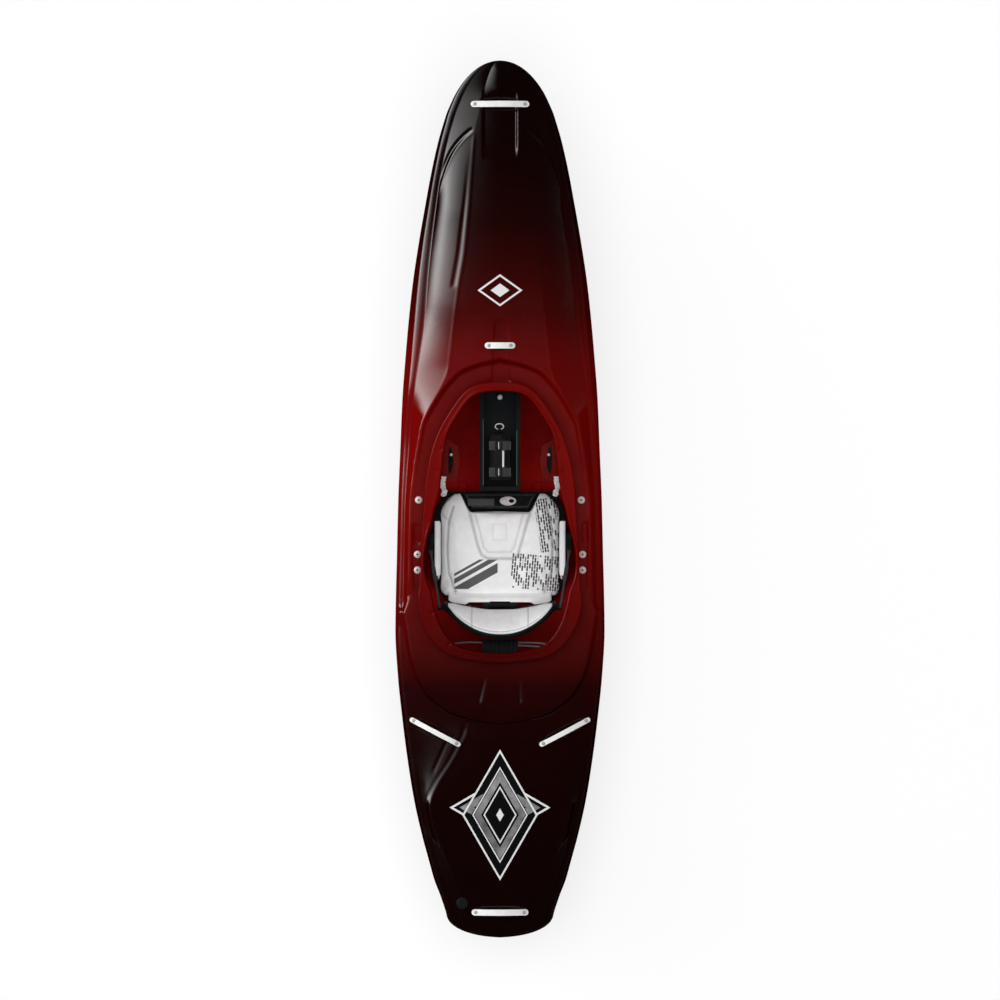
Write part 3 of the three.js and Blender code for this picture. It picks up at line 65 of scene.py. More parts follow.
# ---- hull tables, as in the part's source
half_length = 1370
half_beam = 328
deck_height = 368
shell_wall = 6
beam_shares = [
    (-1, 0.50), (-0.96, 0.505), (-0.91, 0.562), (-0.87, 0.626), (-0.82, 0.685), (-0.77, 0.742),
    (-0.69, 0.818), (-0.6, 0.88), (-0.5, 0.934), (-0.4, 0.977), (-0.3, 1), (-0.11, 0.984), (0, 0.973),
    (0.11, 0.954), (0.23, 0.933), (0.32, 0.905), (0.41, 0.872), (0.5, 0.83), (0.59, 0.773),
    (0.68, 0.707), (0.75, 0.652), (0.82, 0.585), (0.87, 0.523), (0.91, 0.472), (1, 0.42),
]
keel_shares = [
    (-1, 0.516), (-0.91, 0.326), (-0.8, 0.168), (-0.66, 0.065), (-0.51, 0.016), (-0.33, 0),
    (0.33, 0), (0.51, 0.033), (0.66, 0.114), (0.77, 0.234), (0.876, 0.421), (0.95, 0.625), (1, 0.842),
]
bottom_half_shares = [
    (-1, 0.2), (-0.8, 0.36), (-0.5, 0.5), (-0.2, 0.54), (0.2, 0.52), (0.5, 0.42), (0.8, 0.2), (1, 0.1),
]
sheer_shares = [
    (-1, 0.56), (-0.876, 0.55), (-0.66, 0.53), (-0.4, 0.516), (0, 0.53), (0.22, 0.557),
    (0.44, 0.603), (0.66, 0.68), (0.84, 0.788), (1, 0.895),
]
band_shares = [
    (-1, 0.09), (-0.9, 0.085), (-0.6, 0.08), (-0.3, 0.07), (0, 0.065), (0.2, 0.09), (0.3, 0.12),
    (0.4, 0.155), (0.6, 0.115), (0.72, 0.09), (0.9, 0.085), (1, 0.08),
]
edge_rise_shares = [
    (-1, 0.02), (-0.9, 0.07), (-0.6, 0.085), (0, 0.105), (0.16, 0.11), (0.2, 0.145), (0.228, 0.178),
    (0.3, 0.178), (0.4, 0.176), (0.46, 0.166), (0.525, 0.147), (0.6, 0.12), (0.85, 0.08), (1, 0.008),
]
crease_half_shares = [
    (-1, 0.27), (-0.92, 0.32), (-0.89, 0.396), (-0.82, 0.5), (-0.75, 0.634), (-0.69, 0.677),
    (-0.644, 0.585), (-0.6, 0.457), (-0.52, 0.28), (-0.44, 0.5), (-0.37, 0.73), (-0.26, 0.88),
    (-0.14, 0.869), (0, 0.86), (0.08, 0.82), (0.176, 0.747), (0.228, 0.625), (0.25, 0.576),
    (0.29, 0.49), (0.47, 0.405), (0.56, 0.338), (0.68, 0.29), (0.84, 0.244), (0.91, 0.168), (1, 0.155),
]
crease_height_shares = [
    (-1, 0.6), (-0.92, 0.655), (-0.82, 0.672), (-0.69, 0.675), (-0.52, 0.69), (-0.44, 0.665),
    (-0.37, 0.655), (-0.26, 0.66), (-0.2, 0.7), (-0.14, 0.712), (0, 0.73), (0.08, 0.76),
    (0.176, 0.815), (0.228, 0.88), (0.29, 0.912), (0.44, 0.955), (0.66, 0.98), (0.91, 0.97),
    (0.95, 0.93), (1, 0.91),
]
centre_height_shares = [
    (-1, 0.61), (-0.95, 0.665), (-0.84, 0.69), (-0.51, 0.7), (-0.37, 0.7), (-0.2, 0.75), (0, 0.86),
    (0.15, 0.93), (0.29, 0.955), (0.44, 0.985), (0.66, 1), (0.84, 0.995), (0.93, 0.975),
    (0.98, 0.94), (1, 0.915),
]
well_half_shares = [
    (-0.512, 0), (-0.51164, 0.0685), (-0.51054, 0.137), (-0.50835, 0.216), (-0.505, 0.3),
    (-0.488, 0.51), (-0.447, 0.72), (-0.409, 0.814), (-0.368, 0.872),
    (-0.315, 0.912), (-0.255, 0.955), (-0.2, 0.85), (-0.14, 0.865), (0, 0.855), (0.08, 0.815),
    (0.176, 0.74), (0.228, 0.62), (0.25, 0.56), (0.292, 0.4), (0.3, 0.334), (0.3058, 0.275),
    (0.3102, 0.2185), (0.3131, 0.17), (0.3153, 0.1205), (0.3168, 0.07), (0.3173, 0.038), (0.3175, 0),
]
well_height_shares = [
    (-0.512, 0.745), (-0.37, 0.735), (-0.2, 0.71), (0, 0.745), (0.15, 0.8), (0.267, 0.86),
    (0.3175, 0.875),
]
well_step = 14
well_crown = 6
bow_round_start = 0.876
stern_round_start = 0.95
side_roundness = 0.8
channel_depth = 12
channel_edge = 10
channel_half = 57
channel_start = 0.776
channel_end = 0.94
channel_fade = 62
facet_bulge = [
    (-1, 1), (-0.6, 2), (0.1, 2), (0.228, 2.5), (0.3, 4.5), (0.39, 5.5), (0.46, 8), (0.525, 10.5),
    (0.6, 11), (0.69, 13), (0.76, 9), (0.83, 2), (1, 1),
]

# Cockpit and coaming
cockpit_front = 0.24745 * half_length
cockpit_rear = -0.34964 * half_length
cockpit_half = 0.7226 * half_beam
cockpit_length = cockpit_front - cockpit_rear
flange_width = 45
flange_thickness = 5
flange_droop = 3
rim_front_height = 1.019 * deck_height
rim_rear_height = 0.8179 * deck_height
rim_bend = 1.8
coaming_skirt = 18
coaming_shares = [
    (1, 0, 0.62), (0.993, 0.253, 0.62), (0.974, 0.38, 0.6), (0.934, 0.494, 0.6), (0.879, 0.616, 0.6),
    (0.833, 0.696, 0.64), (0.769, 0.738, 0.84), (0.689, 0.768, 1), (0.609, 0.806, 1),
    (0.543, 0.869, 0.73), (0.498, 0.899, 0.62), (0.444, 0.954, 0.4), (0.359, 1, 0.28),
    (0.292, 0.979, 0.47), (0.243, 0.916, 0.87), (0.185, 0.873, 1.1), (0.127, 0.814, 1.1),
    (0.066, 0.7, 1), (0.029, 0.56, 0.84), (0.0086, 0.338, 0.69), (0, 0, 0.69),
]


# ---- curves and distances
def straight(table, place):
    rows = np.array(table, float)
    return np.interp(place, rows[:, 0], rows[:, 1])


def smooth(table, place):
    """Value of a table, joined by a smooth curve that keeps every rise and fall."""
    rows = np.array(table, float)
    xs, ys = rows[:, 0], rows[:, 1]
    rates = np.diff(ys) / np.diff(xs)
    product = rates[:-1] * rates[1:]
    total = np.where(product > 0, rates[:-1] + rates[1:], 1)
    slopes = np.zeros(len(xs))
    slopes[1:-1] = np.where(product > 0, 2 * product / total, 0)
    place = np.clip(place, xs[0], xs[-1])
    i = np.clip(np.searchsorted(xs, place, side="right") - 1, 0, len(xs) - 2)
    span = xs[i + 1] - xs[i]
    t = (place - xs[i]) / span
    rise = (ys[i + 1] - ys[i]) * t * t * (3 - 2 * t)
    return ys[i] + rise + slopes[i] * span * t * (1 - t) ** 2 + slopes[i + 1] * span * t * t * (t - 1)


def ease(value):
    t = np.clip(value, 0, 1)
    return t * t * (3 - 2 * t)


def round_end(share):
    """Height of a rounded end, from 0 at its tip to 1 where it is one radius in."""
    return math.sqrt(max(0, 1 - (1 - min(1, share)) ** 2))


def tip_share(x):
    x = np.asarray(x, float)
    start = np.where(x > 0, bow_round_start, stern_round_start) * half_length
    along = np.clip((np.abs(x) - start) / (half_length - start), 0, 1)
    return np.sqrt(1 - along * along)


soft_x = np.arange(-half_length, half_length + 1, 2.0)


def softened(table, reach=9):
    """A straight table with its corners rounded over a few millimetres, as a function of x."""
    values = straight(table, soft_x / half_length)
    kernel = np.exp(-0.5 * (np.arange(-3 * reach, 3 * reach + 1) / reach) ** 2)
    kernel /= kernel.sum()
    padded = np.pad(values, 3 * reach, mode="edge")
    values = np.convolve(padded, kernel, mode="valid")
    return lambda x: np.interp(x, soft_x, values)


crease_half_at_x = softened(crease_half_shares)
crease_height_at_x = softened(crease_height_shares)
band_at_x = softened(band_shares, 20)
edge_rise_at_x = softened(edge_rise_shares, 20)
well_square_at_x = softened([(at, share * share) for at, share in well_half_shares], 2)
bulge_at_x = softened(facet_bulge, 20)


def sheer_half(x):
    return smooth(beam_shares, x / half_length) * half_beam * tip_share(x)


def crease_half(x):
    return crease_half_at_x(x) * half_beam * tip_share(x)


def edge_half(x):
    return sheer_half(x) - band_at_x(x) * half_beam * tip_share(x)


def well_half(x):
    return np.sqrt(well_square_at_x(x)) * half_beam


def well_share(x, side):
    reach = well_step / 2
    slope = (well_half(x + reach) - well_half(x - reach)) / (2 * reach)
    inside = (well_half(x) - side) / np.hypot(1, slope)
    return ease(inside / well_step)


def channel_share(x, side):
    across = ease((channel_half - side) / channel_edge)
    start = ease((x - channel_start * half_length + 10) / channel_fade)
    end = ease((channel_end * half_length - x) / channel_fade)
    return across * start * end


def deck_level(x, y):
    """Height of the plain deck, as the part's source has it."""
    x, y = np.asarray(x, float), np.asarray(y, float)
    place = x / half_length
    side = np.abs(y)
    crease = crease_half(x)
    crease_z = crease_height_at_x(x) * deck_height
    centre_z = smooth(centre_height_shares, place) * deck_height
    inner = centre_z - (centre_z - crease_z) * (side / crease) ** 2
    edge_z = smooth(sheer_shares, place) * deck_height + edge_rise_at_x(x) * deck_height
    along = np.clip((side - crease) / (edge_half(x) - crease), 0, 1)
    outer = crease_z + (edge_z - crease_z) * along + 4 * bulge_at_x(x) * along * (1 - along)
    height = np.where(side > crease, outer, inner)
    share = well_share(x, side)
    crown = well_crown * (side / np.maximum(well_half(x), 1)) ** 2
    well_z = smooth(well_height_shares, place) * deck_height - crown
    height = height + (well_z - height) * share
    return height - channel_depth * channel_share(x, side)


def line_distance(x, y, points):
    """Distance to a line through points, which side of it, and how far along it, from 0 to 1."""
    best = np.full(np.shape(x), 1e9)
    side = np.zeros(np.shape(x))
    along = np.zeros(np.shape(x))
    lengths = [math.dist(a, b) for a, b in zip(points, points[1:])]
    total, done = sum(lengths), 0
    for (ax, ay), (bx, by), length in zip(points, points[1:], lengths):
        ux, uy = (bx - ax) / length, (by - ay) / length
        t = np.clip((x - ax) * ux + (y - ay) * uy, 0, length)
        gap = np.hypot(x - ax - t * ux, y - ay - t * uy)
        near = gap < best
        best = np.where(near, gap, best)
        side = np.where(near, np.sign(ux * (y - ay) - uy * (x - ax)), side)
        along = np.where(near, (done + t) / total, along)
        done += length
    return best, side, along


def bell(distance, half_width):
    return 1 - ease(distance / half_width)


# ---- details of the deck, x and y on the port side
bow_arc = [
    (1158, 80), (1149, 95), (1136, 111), (1123, 124), (1108, 137), (1090, 150), (1070, 161),
    (1040, 175), (1007, 187), (955, 205), (888, 232),
]
arc_depth, arc_reach, arc_lip = 4.2, 9, 0.9
shoulder_ridge_height, shoulder_ridge_reach = 1.1, 9
ridge_start, ridge_end = 330, 1150
valley_start, valley_end, valley_depth = 655, 1085, 3.4
stern_ridge_height, stern_dip_depth, stern_crease_reach = 0.7, 1.3, 10
front_groove = (568, 372, -3, 19, 29)
front_groove_depth, front_groove_edge = 5.2, 8
pockets = [(-109, 261), (-100, -267)]
pocket_length, pocket_width, pocket_corner, pocket_depth = 66, 22, 8, 4
rear_slots = [[(-560, 50), (-628, 66)], [(-560, -58), (-628, -60)]]
slot_depth, slot_reach = 4.2, 10
bar_across, rear_bar_turn = math.pi / 2, math.radians(62.5)
bar_recess = [
    (1233, 0, bar_across, 183, 19), (481, 0, bar_across, 95, 19), (-1290, 0, bar_across, 178, 19),
    (-726, 203, rear_bar_turn, 178, 15), (-726, -203, -rear_bar_turn, 178, 15),
]
recess_depth = 2.5
shield_groove = [(-742, 160), (-800, 186), (-866, 216)]
shield_depth, shield_reach = 1.6, 9


def deck_detail(x, y):
    """Small steps, grooves and ridges on the deck."""
    side = np.abs(y)
    crease = crease_half(x)
    outside = side - crease
    change = np.zeros(np.shape(x))
    # ridge along the shoulder crease, with a valley beside it towards the bow
    span = ease((x - ridge_start) / 60) * ease((ridge_end - x) / 40)
    change += shoulder_ridge_height * bell(np.abs(outside), shoulder_ridge_reach) * span
    valley = ease((x - valley_start) / 16) * ease((valley_end - x) / 220)
    width = 12 + 9 * ease((valley_end - x) / 380)
    change -= valley_depth * bell(np.abs(outside - 6 - width / 2), width * 0.62) * valley
    # the arc where the bow's bevel meets the shoulder
    gap, hand, along = line_distance(x, side, bow_arc)
    fade = ease(along / 0.06) * ease((1.02 - along) / 0.1) * ease((edge_half(x) - side) / 14)
    change -= arc_depth * bell(gap, arc_reach) * fade
    change += arc_lip * bell(np.abs(gap - 10), 6) * fade * (hand > 0)
    # crease that bounds the stern's shield and the rear deck
    stern_span = ease((-690 - x) / 30) * ease((x + 1275) / 30)
    change += stern_ridge_height * bell(np.abs(outside), stern_crease_reach) * stern_span
    change -= stern_dip_depth * bell(np.abs(outside - 13), stern_crease_reach) * stern_span
    gap, _, along = line_distance(x, side, shield_groove)
    change -= shield_depth * bell(gap, shield_reach) * ease(along / 0.2) * ease((1 - along) / 0.2)
    # channel in front of the cockpit
    start, end, middle, narrow, wide = front_groove
    t = np.clip((start - x) / (start - end), 0, 1)
    half = narrow + (wide - narrow) * t
    inside = ease((half - np.abs(y - middle)) / front_groove_edge + 0.5)
    change -= front_groove_depth * inside * ease((start - x) / 14) * ease((x - end + 14) / 14)
    # shallow pockets in the side deck
    for cx, cy in pockets:
        out = np.maximum(np.abs(x - cx) - pocket_length / 2 + pocket_corner, 0)
        over = np.maximum(np.abs(y - cy) - pocket_width / 2 + pocket_corner, 0)
        change -= pocket_depth * (1 - ease((np.hypot(out, over) - pocket_corner + 4) / 6))
    # slots behind the cockpit
    for line in rear_slots:
        gap, _, along = line_distance(x, y, line)
        change -= slot_depth * bell(gap, slot_reach) * (0.45 + 0.55 * along)
    # hollow under each bar
    for cx, cy, turn, length, bar in bar_recess:
        along = (x - cx) * math.cos(turn) + (y - cy) * math.sin(turn)
        across = -(x - cx) * math.sin(turn) + (y - cy) * math.cos(turn)
        ends = ease((length / 2 - 26 - np.abs(along)) / 10)
        change -= recess_depth * ends * (1 - ease((np.abs(across) - bar * 0.5) / 9))
    return change


def under_deck(x, y, wall, reach=5):
    """Height of the deck's lower face, low enough to stay under the deck where it is steep."""
    low = np.full(np.shape(x), 1e9)
    for dx in (-reach, 0, reach):
        for dy in (-reach, 0, reach):
            px = np.clip(x + dx, 1 - half_length, half_length - 1)
            low = np.minimum(low, deck_level(px, y + dy) + deck_detail(px, y + dy))
    return low - wall


# ---- mesh helpers
def placed(name, data):
    """Object of some data, linked to the scene."""
    obj = bpy.data.objects.new(name, data)
    bpy.context.scene.collection.objects.link(obj)
    return obj


def mesh_object(name, points, faces, smooth_shade=True):
    """Object from points in millimetres and faces."""
    mesh = bpy.data.meshes.new(name)
    mesh.from_pydata((np.asarray(points, float) * MM).tolist(), [], [list(map(int, f)) for f in faces])
    mesh.validate()
    mesh.update()
    if smooth_shade:
        mesh.shade_smooth()
    return placed(name, mesh)


def face_out(obj):
    """Turns every face of a closed mesh outwards."""
    bm = bmesh.new()
    bm.from_mesh(obj.data)
    bmesh.ops.recalc_face_normals(bm, faces=bm.faces)
    bm.to_mesh(obj.data)
    bm.free()
    return obj


def loft(name, rings, closed_path=False, smooth_shade=True):
    """Closed body from rings of equally many points. Its ends are capped unless the path closes."""
    rings = [np.asarray(ring, float) for ring in rings]
    count, total = len(rings[0]), len(rings)
    faces = []
    for i in range(total if closed_path else total - 1):
        j = (i + 1) % total
        for k in range(count):
            n = (k + 1) % count
            faces.append((i * count + k, i * count + n, j * count + n, j * count + k))
    if not closed_path:
        faces.append(tuple(range(count))[::-1])
        faces.append(tuple((total - 1) * count + k for k in range(count)))
    return face_out(mesh_object(name, np.concatenate(rings), faces, smooth_shade))


def smooth_path(points, steps=8, closed=False):
    """Points along a smooth curve through the given ones."""
    pts = np.asarray(points, float)
    n = len(pts)
    out = []
    for i in range(n if closed else n - 1):
        p1, p2 = pts[i % n], pts[(i + 1) % n]
        p0 = pts[(i - 1) % n] if closed or i > 0 else 2 * p1 - p2
        p3 = pts[(i + 2) % n] if closed or i + 2 < n else 2 * p2 - p1
        for s in range(steps):
            t = s / steps
            out.append(0.5 * (2 * p1 + (p2 - p0) * t + (2 * p0 - 5 * p1 + 4 * p2 - p3) * t * t
                              + (3 * p1 - p0 - 3 * p2 + p3) * t ** 3))
    if not closed:
        out.append(pts[-1])
    return np.array(out)


def sweep(name, path, section, up=(0, 0, 1), closed=False, scale=None):
    """Section of (sideways, up) points carried along a path."""
    path, section = np.asarray(path, float), np.asarray(section, float)
    tangent = np.roll(path, -1, 0) - np.roll(path, 1, 0) if closed else np.gradient(path, axis=0)
    tangent /= np.linalg.norm(tangent, axis=1, keepdims=True)
    sideways = np.cross(np.broadcast_to(np.asarray(up, float), path.shape), tangent)
    sideways /= np.linalg.norm(sideways, axis=1, keepdims=True)
    upward = np.cross(tangent, sideways)
    rings = []
    for i, point in enumerate(path):
        k = 1 if scale is None else scale[i]
        rings.append(point + k * (section[:, :1] * sideways[i] + section[:, 1:] * upward[i]))
    return loft(name, rings, closed)


def circle(sides):
    return [2 * math.pi * i / sides for i in range(sides)]


def round_section(radius, sides=14):
    return [(radius * math.cos(angle), radius * math.sin(angle)) for angle in circle(sides)]


def flat_section(width, height, corner, corner_steps=3):
    """Rounded rectangle."""
    out = []
    for cx, cy, start in ((1, 1, 0), (-1, 1, 90), (-1, -1, 180), (1, -1, 270)):
        for s in range(corner_steps + 1):
            angle = math.radians(start + 90 * s / corner_steps)
            out.append((cx * (width / 2 - corner) + corner * math.cos(angle),
                        cy * (height / 2 - corner) + corner * math.sin(angle)))
    return out


def turned(name, profile, centre, axis=(0, 0, 1), sides=40, shape=None):
    """Round body from (radius, along) points about an axis through centre."""
    rings = []
    base = Vector(axis).to_track_quat("Z", "Y").to_matrix()
    for radius, along in profile:
        ring = []
        for angle in circle(sides):
            r = radius if shape is None else radius * shape(angle)
            v = base @ Vector((r * math.cos(angle), r * math.sin(angle), along))
            ring.append([centre[0] + v.x, centre[1] + v.y, centre[2] + v.z])
        rings.append(ring)
    return loft(name, rings)


def prism(name, outline, low, high, bevel=1.5, segments=3, axis="z"):
    """Solid with an outline and rounded edges: X and Y for axis z, X and Z for y, Y and Z for x."""
    order = {"z": [0, 1, 2], "y": [0, 2, 1], "x": [2, 0, 1]}[axis]
    n = len(outline)
    points = np.array([(a, b, level) for level in (low, high) for a, b in outline], float)[:, order]
    faces = [tuple(range(n))[::-1], tuple(range(n, 2 * n))]
    faces += [(i, (i + 1) % n, n + (i + 1) % n, n + i) for i in range(n)]
    return round_edges(face_out(mesh_object(name, points, faces, False)), bevel, segments)


def bevelled(obj, width, segments=3, angle=32):
    bevel = obj.modifiers.new("edges", "BEVEL")
    bevel.width = width * MM
    bevel.segments = segments
    bevel.limit_method = "ANGLE"
    bevel.angle_limit = math.radians(angle)


def round_edges(obj, width, segments=3, angle=32):
    if width > 0:
        bevelled(obj, width, segments, angle)
    return soft_corners(obj)


def soft_corners(obj, angle=40):
    """Smooth shading that keeps sharp corners."""
    with bpy.context.temp_override(object=obj, active_object=obj, selected_objects=[obj],
                                   selected_editable_objects=[obj]):
        obj.data.shade_smooth()
        obj.data.set_sharp_from_angle(angle=math.radians(angle))
    return obj


def apply_modifiers(obj):
    graph = bpy.context.evaluated_depsgraph_get()
    mesh = bpy.data.meshes.new_from_object(obj.evaluated_get(graph))
    mesh.name = obj.data.name
    obj.modifiers.clear()
    obj.data = mesh


def cut(obj, *tools):
    for tool in tools:
        boolean = obj.modifiers.new("cut", "BOOLEAN")
        boolean.operation = "DIFFERENCE"
        boolean.solver = "EXACT"
        boolean.object = tool
    apply_modifiers(obj)
    for tool in tools:
        bpy.data.objects.remove(tool)
    return obj


def gathered(name, parts):
    """One object from pairs of a part and its material, the modifiers applied."""
    materials = []
    bm = bmesh.new()
    for part, material in parts:
        apply_modifiers(part)
        if material not in materials:
            materials.append(material)
        indices = [materials.index(material)] * len(part.data.polygons)
        part.data.polygons.foreach_set("material_index", indices)
        bm.from_mesh(part.data)
        bpy.data.objects.remove(part)
    mesh = bpy.data.meshes.new(name)
    bm.to_mesh(mesh)
    bm.free()
    for material in materials:
        mesh.materials.append(material)
    return placed(name, mesh)


# ---- pieces
def settled(obj, body, slot, *nodes):
    """Body and nodes of a piece that has its materials. Its slot is not used."""
    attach(obj, body)
    if nodes:
        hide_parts(*nodes)
    return obj


def dress(obj, material, body, slot, *nodes):
    """Material, body and nodes of a piece of one material. Its slot is passed on but not used."""
    obj.data.materials.clear()
    obj.data.materials.append(material)
    return settled(obj, body, slot, *nodes)


def piece(name, parts, body, slot, *nodes, angle=40):
    """Hard piece from pairs of a part and its material."""
    return settled(soft_corners(gathered(name, parts), angle), body, slot, *nodes)


def cloth_cover(name, parts, body, node, seam_shade_depth=None):
    """Soft piece from pairs of a part and its material.

    The last argument, a function, says how deep in a sewn groove each point lies; the cloth's colour is
    darkened there by that depth, as painted shade.
    """
    obj = gathered(name, parts)
    obj.data.shade_smooth()
    if seam_shade_depth:
        layer = obj.data.attributes.new("seam_shade", "FLOAT", "POINT")
        layer.data.foreach_set("value", np.clip(seam_shade_depth(coordinates(obj)), 0, 1).astype(np.float32))
    return settled(obj, body, "seat_cloth", node)


# ---- materials
class Nodes:
    """Short names for building a material's nodes."""

    shader_inputs = {
        "color": "Base Color", "rough": "Roughness", "metal": "Metallic", "ior": "IOR",
        "spec": "Specular IOR Level", "sheen": "Sheen Weight", "normal": "Normal",
    }

    def __init__(self, name):
        self.material = bpy.data.materials.new(name)
        self.material.use_nodes = True
        self.tree = self.material.node_tree
        self.shader = self.tree.nodes["Principled BSDF"]
        self.coords = self.new("TexCoord").outputs["Object"]

    def new(self, kind, **inputs):
        """Node of a kind, with a value or a link for some of its inputs."""
        node = self.tree.nodes.new("ShaderNode" + kind)
        for key, value in inputs.items():
            self.put(node.inputs[key], value)
        return node

    def put(self, socket, value):
        if isinstance(value, bpy.types.NodeSocket):
            self.tree.links.new(value, socket)
        elif value is not None:
            socket.default_value = (*value, 1) if socket.type == "RGBA" else value

    def set(self, **values):
        for key, value in values.items():
            self.put(self.shader.inputs[self.shader_inputs[key]], value)
        return self.material

    def math(self, kind, a, b=None):
        node = self.new("Math")
        node.operation = kind
        self.put(node.inputs[0], a)
        self.put(node.inputs[1], b)
        return node.outputs[0]

    def plus(self, a, b):
        return self.math("ADD", a, b)

    def minus(self, a, b):
        return self.math("SUBTRACT", a, b)

    def times(self, a, b):
        return self.math("MULTIPLY", a, b)

    def most(self, a, b):
        return self.math("MAXIMUM", a, b)

    def mapped(self, value, low, high, to_low=0.0, to_high=1.0, smooth_step=False):
        node = self.new("MapRange")
        node.interpolation_type = "SMOOTHSTEP" if smooth_step else "LINEAR"
        for socket, v in zip(node.inputs, (value, low, high, to_low, to_high)):
            self.put(socket, v)
        return node.outputs[0]

    def mix(self, factor, a, b):
        node = self.new("Mix")
        node.data_type = "RGBA"
        for index, value in ((0, factor), (6, a), (7, b)):
            self.put(node.inputs[index], value)
        return node.outputs[2]

    def scaled(self, scale):
        return self.new("Mapping", Vector=self.coords, Scale=scale).outputs[0]

    def split(self, source=None):
        return self.new("SeparateXYZ", Vector=source or self.coords).outputs

    def noise(self, scale, detail=3, rough=0.5, source=None):
        vector = source or self.coords
        return self.new("TexNoise", Vector=vector, Scale=scale, Detail=detail, Roughness=rough).outputs["Fac"]

    def wave(self, scale, direction, source=None):
        node = self.new("TexWave", Vector=source or self.coords, Scale=scale)
        node.bands_direction = direction
        return node.outputs["Fac"]

    def twill(self, scale):
        other_way = self.wave(scale, "DIAGONAL", self.scaled((1, -1, 1)))
        return self.times(self.wave(scale, "DIAGONAL"), other_way)

    def ramp(self, factor, stops):
        node = self.new("ValToRGB", Fac=factor)
        points = node.color_ramp.elements
        points[0].position, points[1].position = stops[0][0], stops[-1][0]
        for place, _ in stops[1:-1]:
            points.new(place)
        for point, (_, value) in zip(points, stops):
            point.color = (value, value, value, 1)
        return node.outputs[0]

    def bump(self, height, strength, distance, before=None):
        node = self.new("Bump", Height=height, Strength=strength, Distance=distance * MM, Normal=before)
        return node.outputs[0]


red = (0.158, 0.0018, 0.0012)
black = (0.0009, 0.0003, 0.0003)
fade_stops = [
    (0.0, 0.012), (0.12, 0.018), (0.226, 0.035), (0.285, 0.09), (0.335, 0.42), (0.40, 0.74), (0.5, 1.0),
    (0.60, 0.92), (0.66, 0.74), (0.715, 0.32), (0.77, 0.15), (0.815, 0.06), (0.88, 0.022), (1.0, 0.004),
]


def hull_material(name, shine):
    n = Nodes(name)
    x, y, z = n.split()
    place = n.plus(n.mapped(x, -half_length * MM, half_length * MM),
                   n.times(n.minus(n.noise(3.0, 2), 0.5), 0.012))
    colour = n.mix(n.ramp(place, fade_stops), black, red)
    speckle = n.mapped(n.noise(260, 2, 0.7), 0.3, 0.75, 0.0, 0.16)
    colour = deck_marks(n, x, y, z, n.mix(speckle, colour, (0.02, 0.001, 0.0008)))
    facing = n.split(n.new("NewGeometry").outputs["Normal"])[2]
    rough = n.plus(n.mapped(n.noise(14, 4, 0.6), 0.3, 0.7, 0.13, 0.2),
                   n.mapped(facing, 0.35, 0.68, 0.26, 0.0, True))
    peel = n.bump(n.noise(55, 2, 0.4), 0.10, 0.6)
    gloss = n.mapped(facing, 0.69, 0.78, 0.0, shine, True)
    return n.set(color=colour, rough=rough, ior=1.6, spec=gloss,
                 normal=n.bump(n.noise(900, 2, 0.6), 0.06, 0.1, peel))


def deck_marks(n, x, y, z, colour):
    """Plain generic marks: nested diamonds on the stern and a small diamond on the bow."""
    white = (0.72, 0.72, 0.72)
    above = n.math("GREATER_THAN", z, 0.2)

    def diamond(middle, half_x, half_y):
        return n.plus(n.math("DIVIDE", n.math("ABSOLUTE", n.minus(x, middle * MM)), half_x * MM),
                      n.math("DIVIDE", n.math("ABSOLUTE", y), half_y * MM))

    def bands(value, *spans):
        """Where a value lies in one of the spans, on the deck only."""
        total = 0.0
        for low, high in spans:
            inside = n.times(n.math("GREATER_THAN", value, low), n.math("LESS_THAN", value, high))
            total = n.most(total, inside)
        return n.times(total, above)

    def beyond(value, limit):
        return n.math("GREATER_THAN", value, limit)

    stern, wide = diamond(-985, 205, 118), diamond(-962, 92, 158)
    shadow = n.most(bands(stern, (0.0, 1.0)), bands(wide, (0.0, 1.0)))
    colour = n.mix(shadow, colour, (0.004, 0.004, 0.0045))
    fill = n.most(bands(stern, (0.50, 0.68)), n.times(bands(wide, (0.52, 0.80)), beyond(stern, 0.76)))
    colour = n.mix(fill, colour, n.mapped(n.noise(22, 3), 0.3, 0.7, 0.08, 0.3))
    lines = bands(stern, (0.945, 1.0), (0.70, 0.735), (0.40, 0.44), (0.0, 0.10))
    lines = n.most(lines, n.times(bands(wide, (0.92, 1.0)), beyond(stern, 0.97)))
    bow = bands(diamond(653, 50, 70), (0.86, 1.0), (0.0, 0.42))
    return n.mix(n.most(lines, bow), colour, white)


def grained(name, blotches, light, dark, grain, relief, rough, span=(0.3, 0.7), **values):
    """Material that drifts between two colours, with a fine grain in its relief and roughness."""
    n = Nodes(name)
    fine = n.noise(*grain)
    if isinstance(rough, tuple):
        rough = n.mapped(fine, 0.3, 0.7, *rough)
    colour = n.mix(n.mapped(n.noise(*blotches), *span), light, dark)
    return n.set(color=colour, rough=rough, normal=n.bump(fine, *relief), **values)


def bar_material():
    n = Nodes("bar_plastic")
    colour = n.mix(n.mapped(n.noise(35, 4, 0.6), 0.35, 0.7), (0.80, 0.795, 0.79), (0.72, 0.715, 0.71))
    fleck = n.mapped(n.noise(700, 2, 0.6), 0.62, 0.75, 0, 0.35)
    return n.set(color=n.mix(fleck, colour, (0.4, 0.39, 0.38)), rough=0.38,
                 normal=n.bump(n.noise(1200, 2), 0.15, 0.08))


def steel_material():
    n = Nodes("steel")
    streak = n.noise(900, 2, 0.6, n.scaled((0.15, 1, 1)))
    return n.set(color=n.mix(streak, (0.5, 0.5, 0.49), (0.66, 0.66, 0.65)), metal=1.0,
                 rough=n.mapped(streak, 0.3, 0.7, 0.2, 0.36), normal=n.bump(streak, 0.12, 0.05))


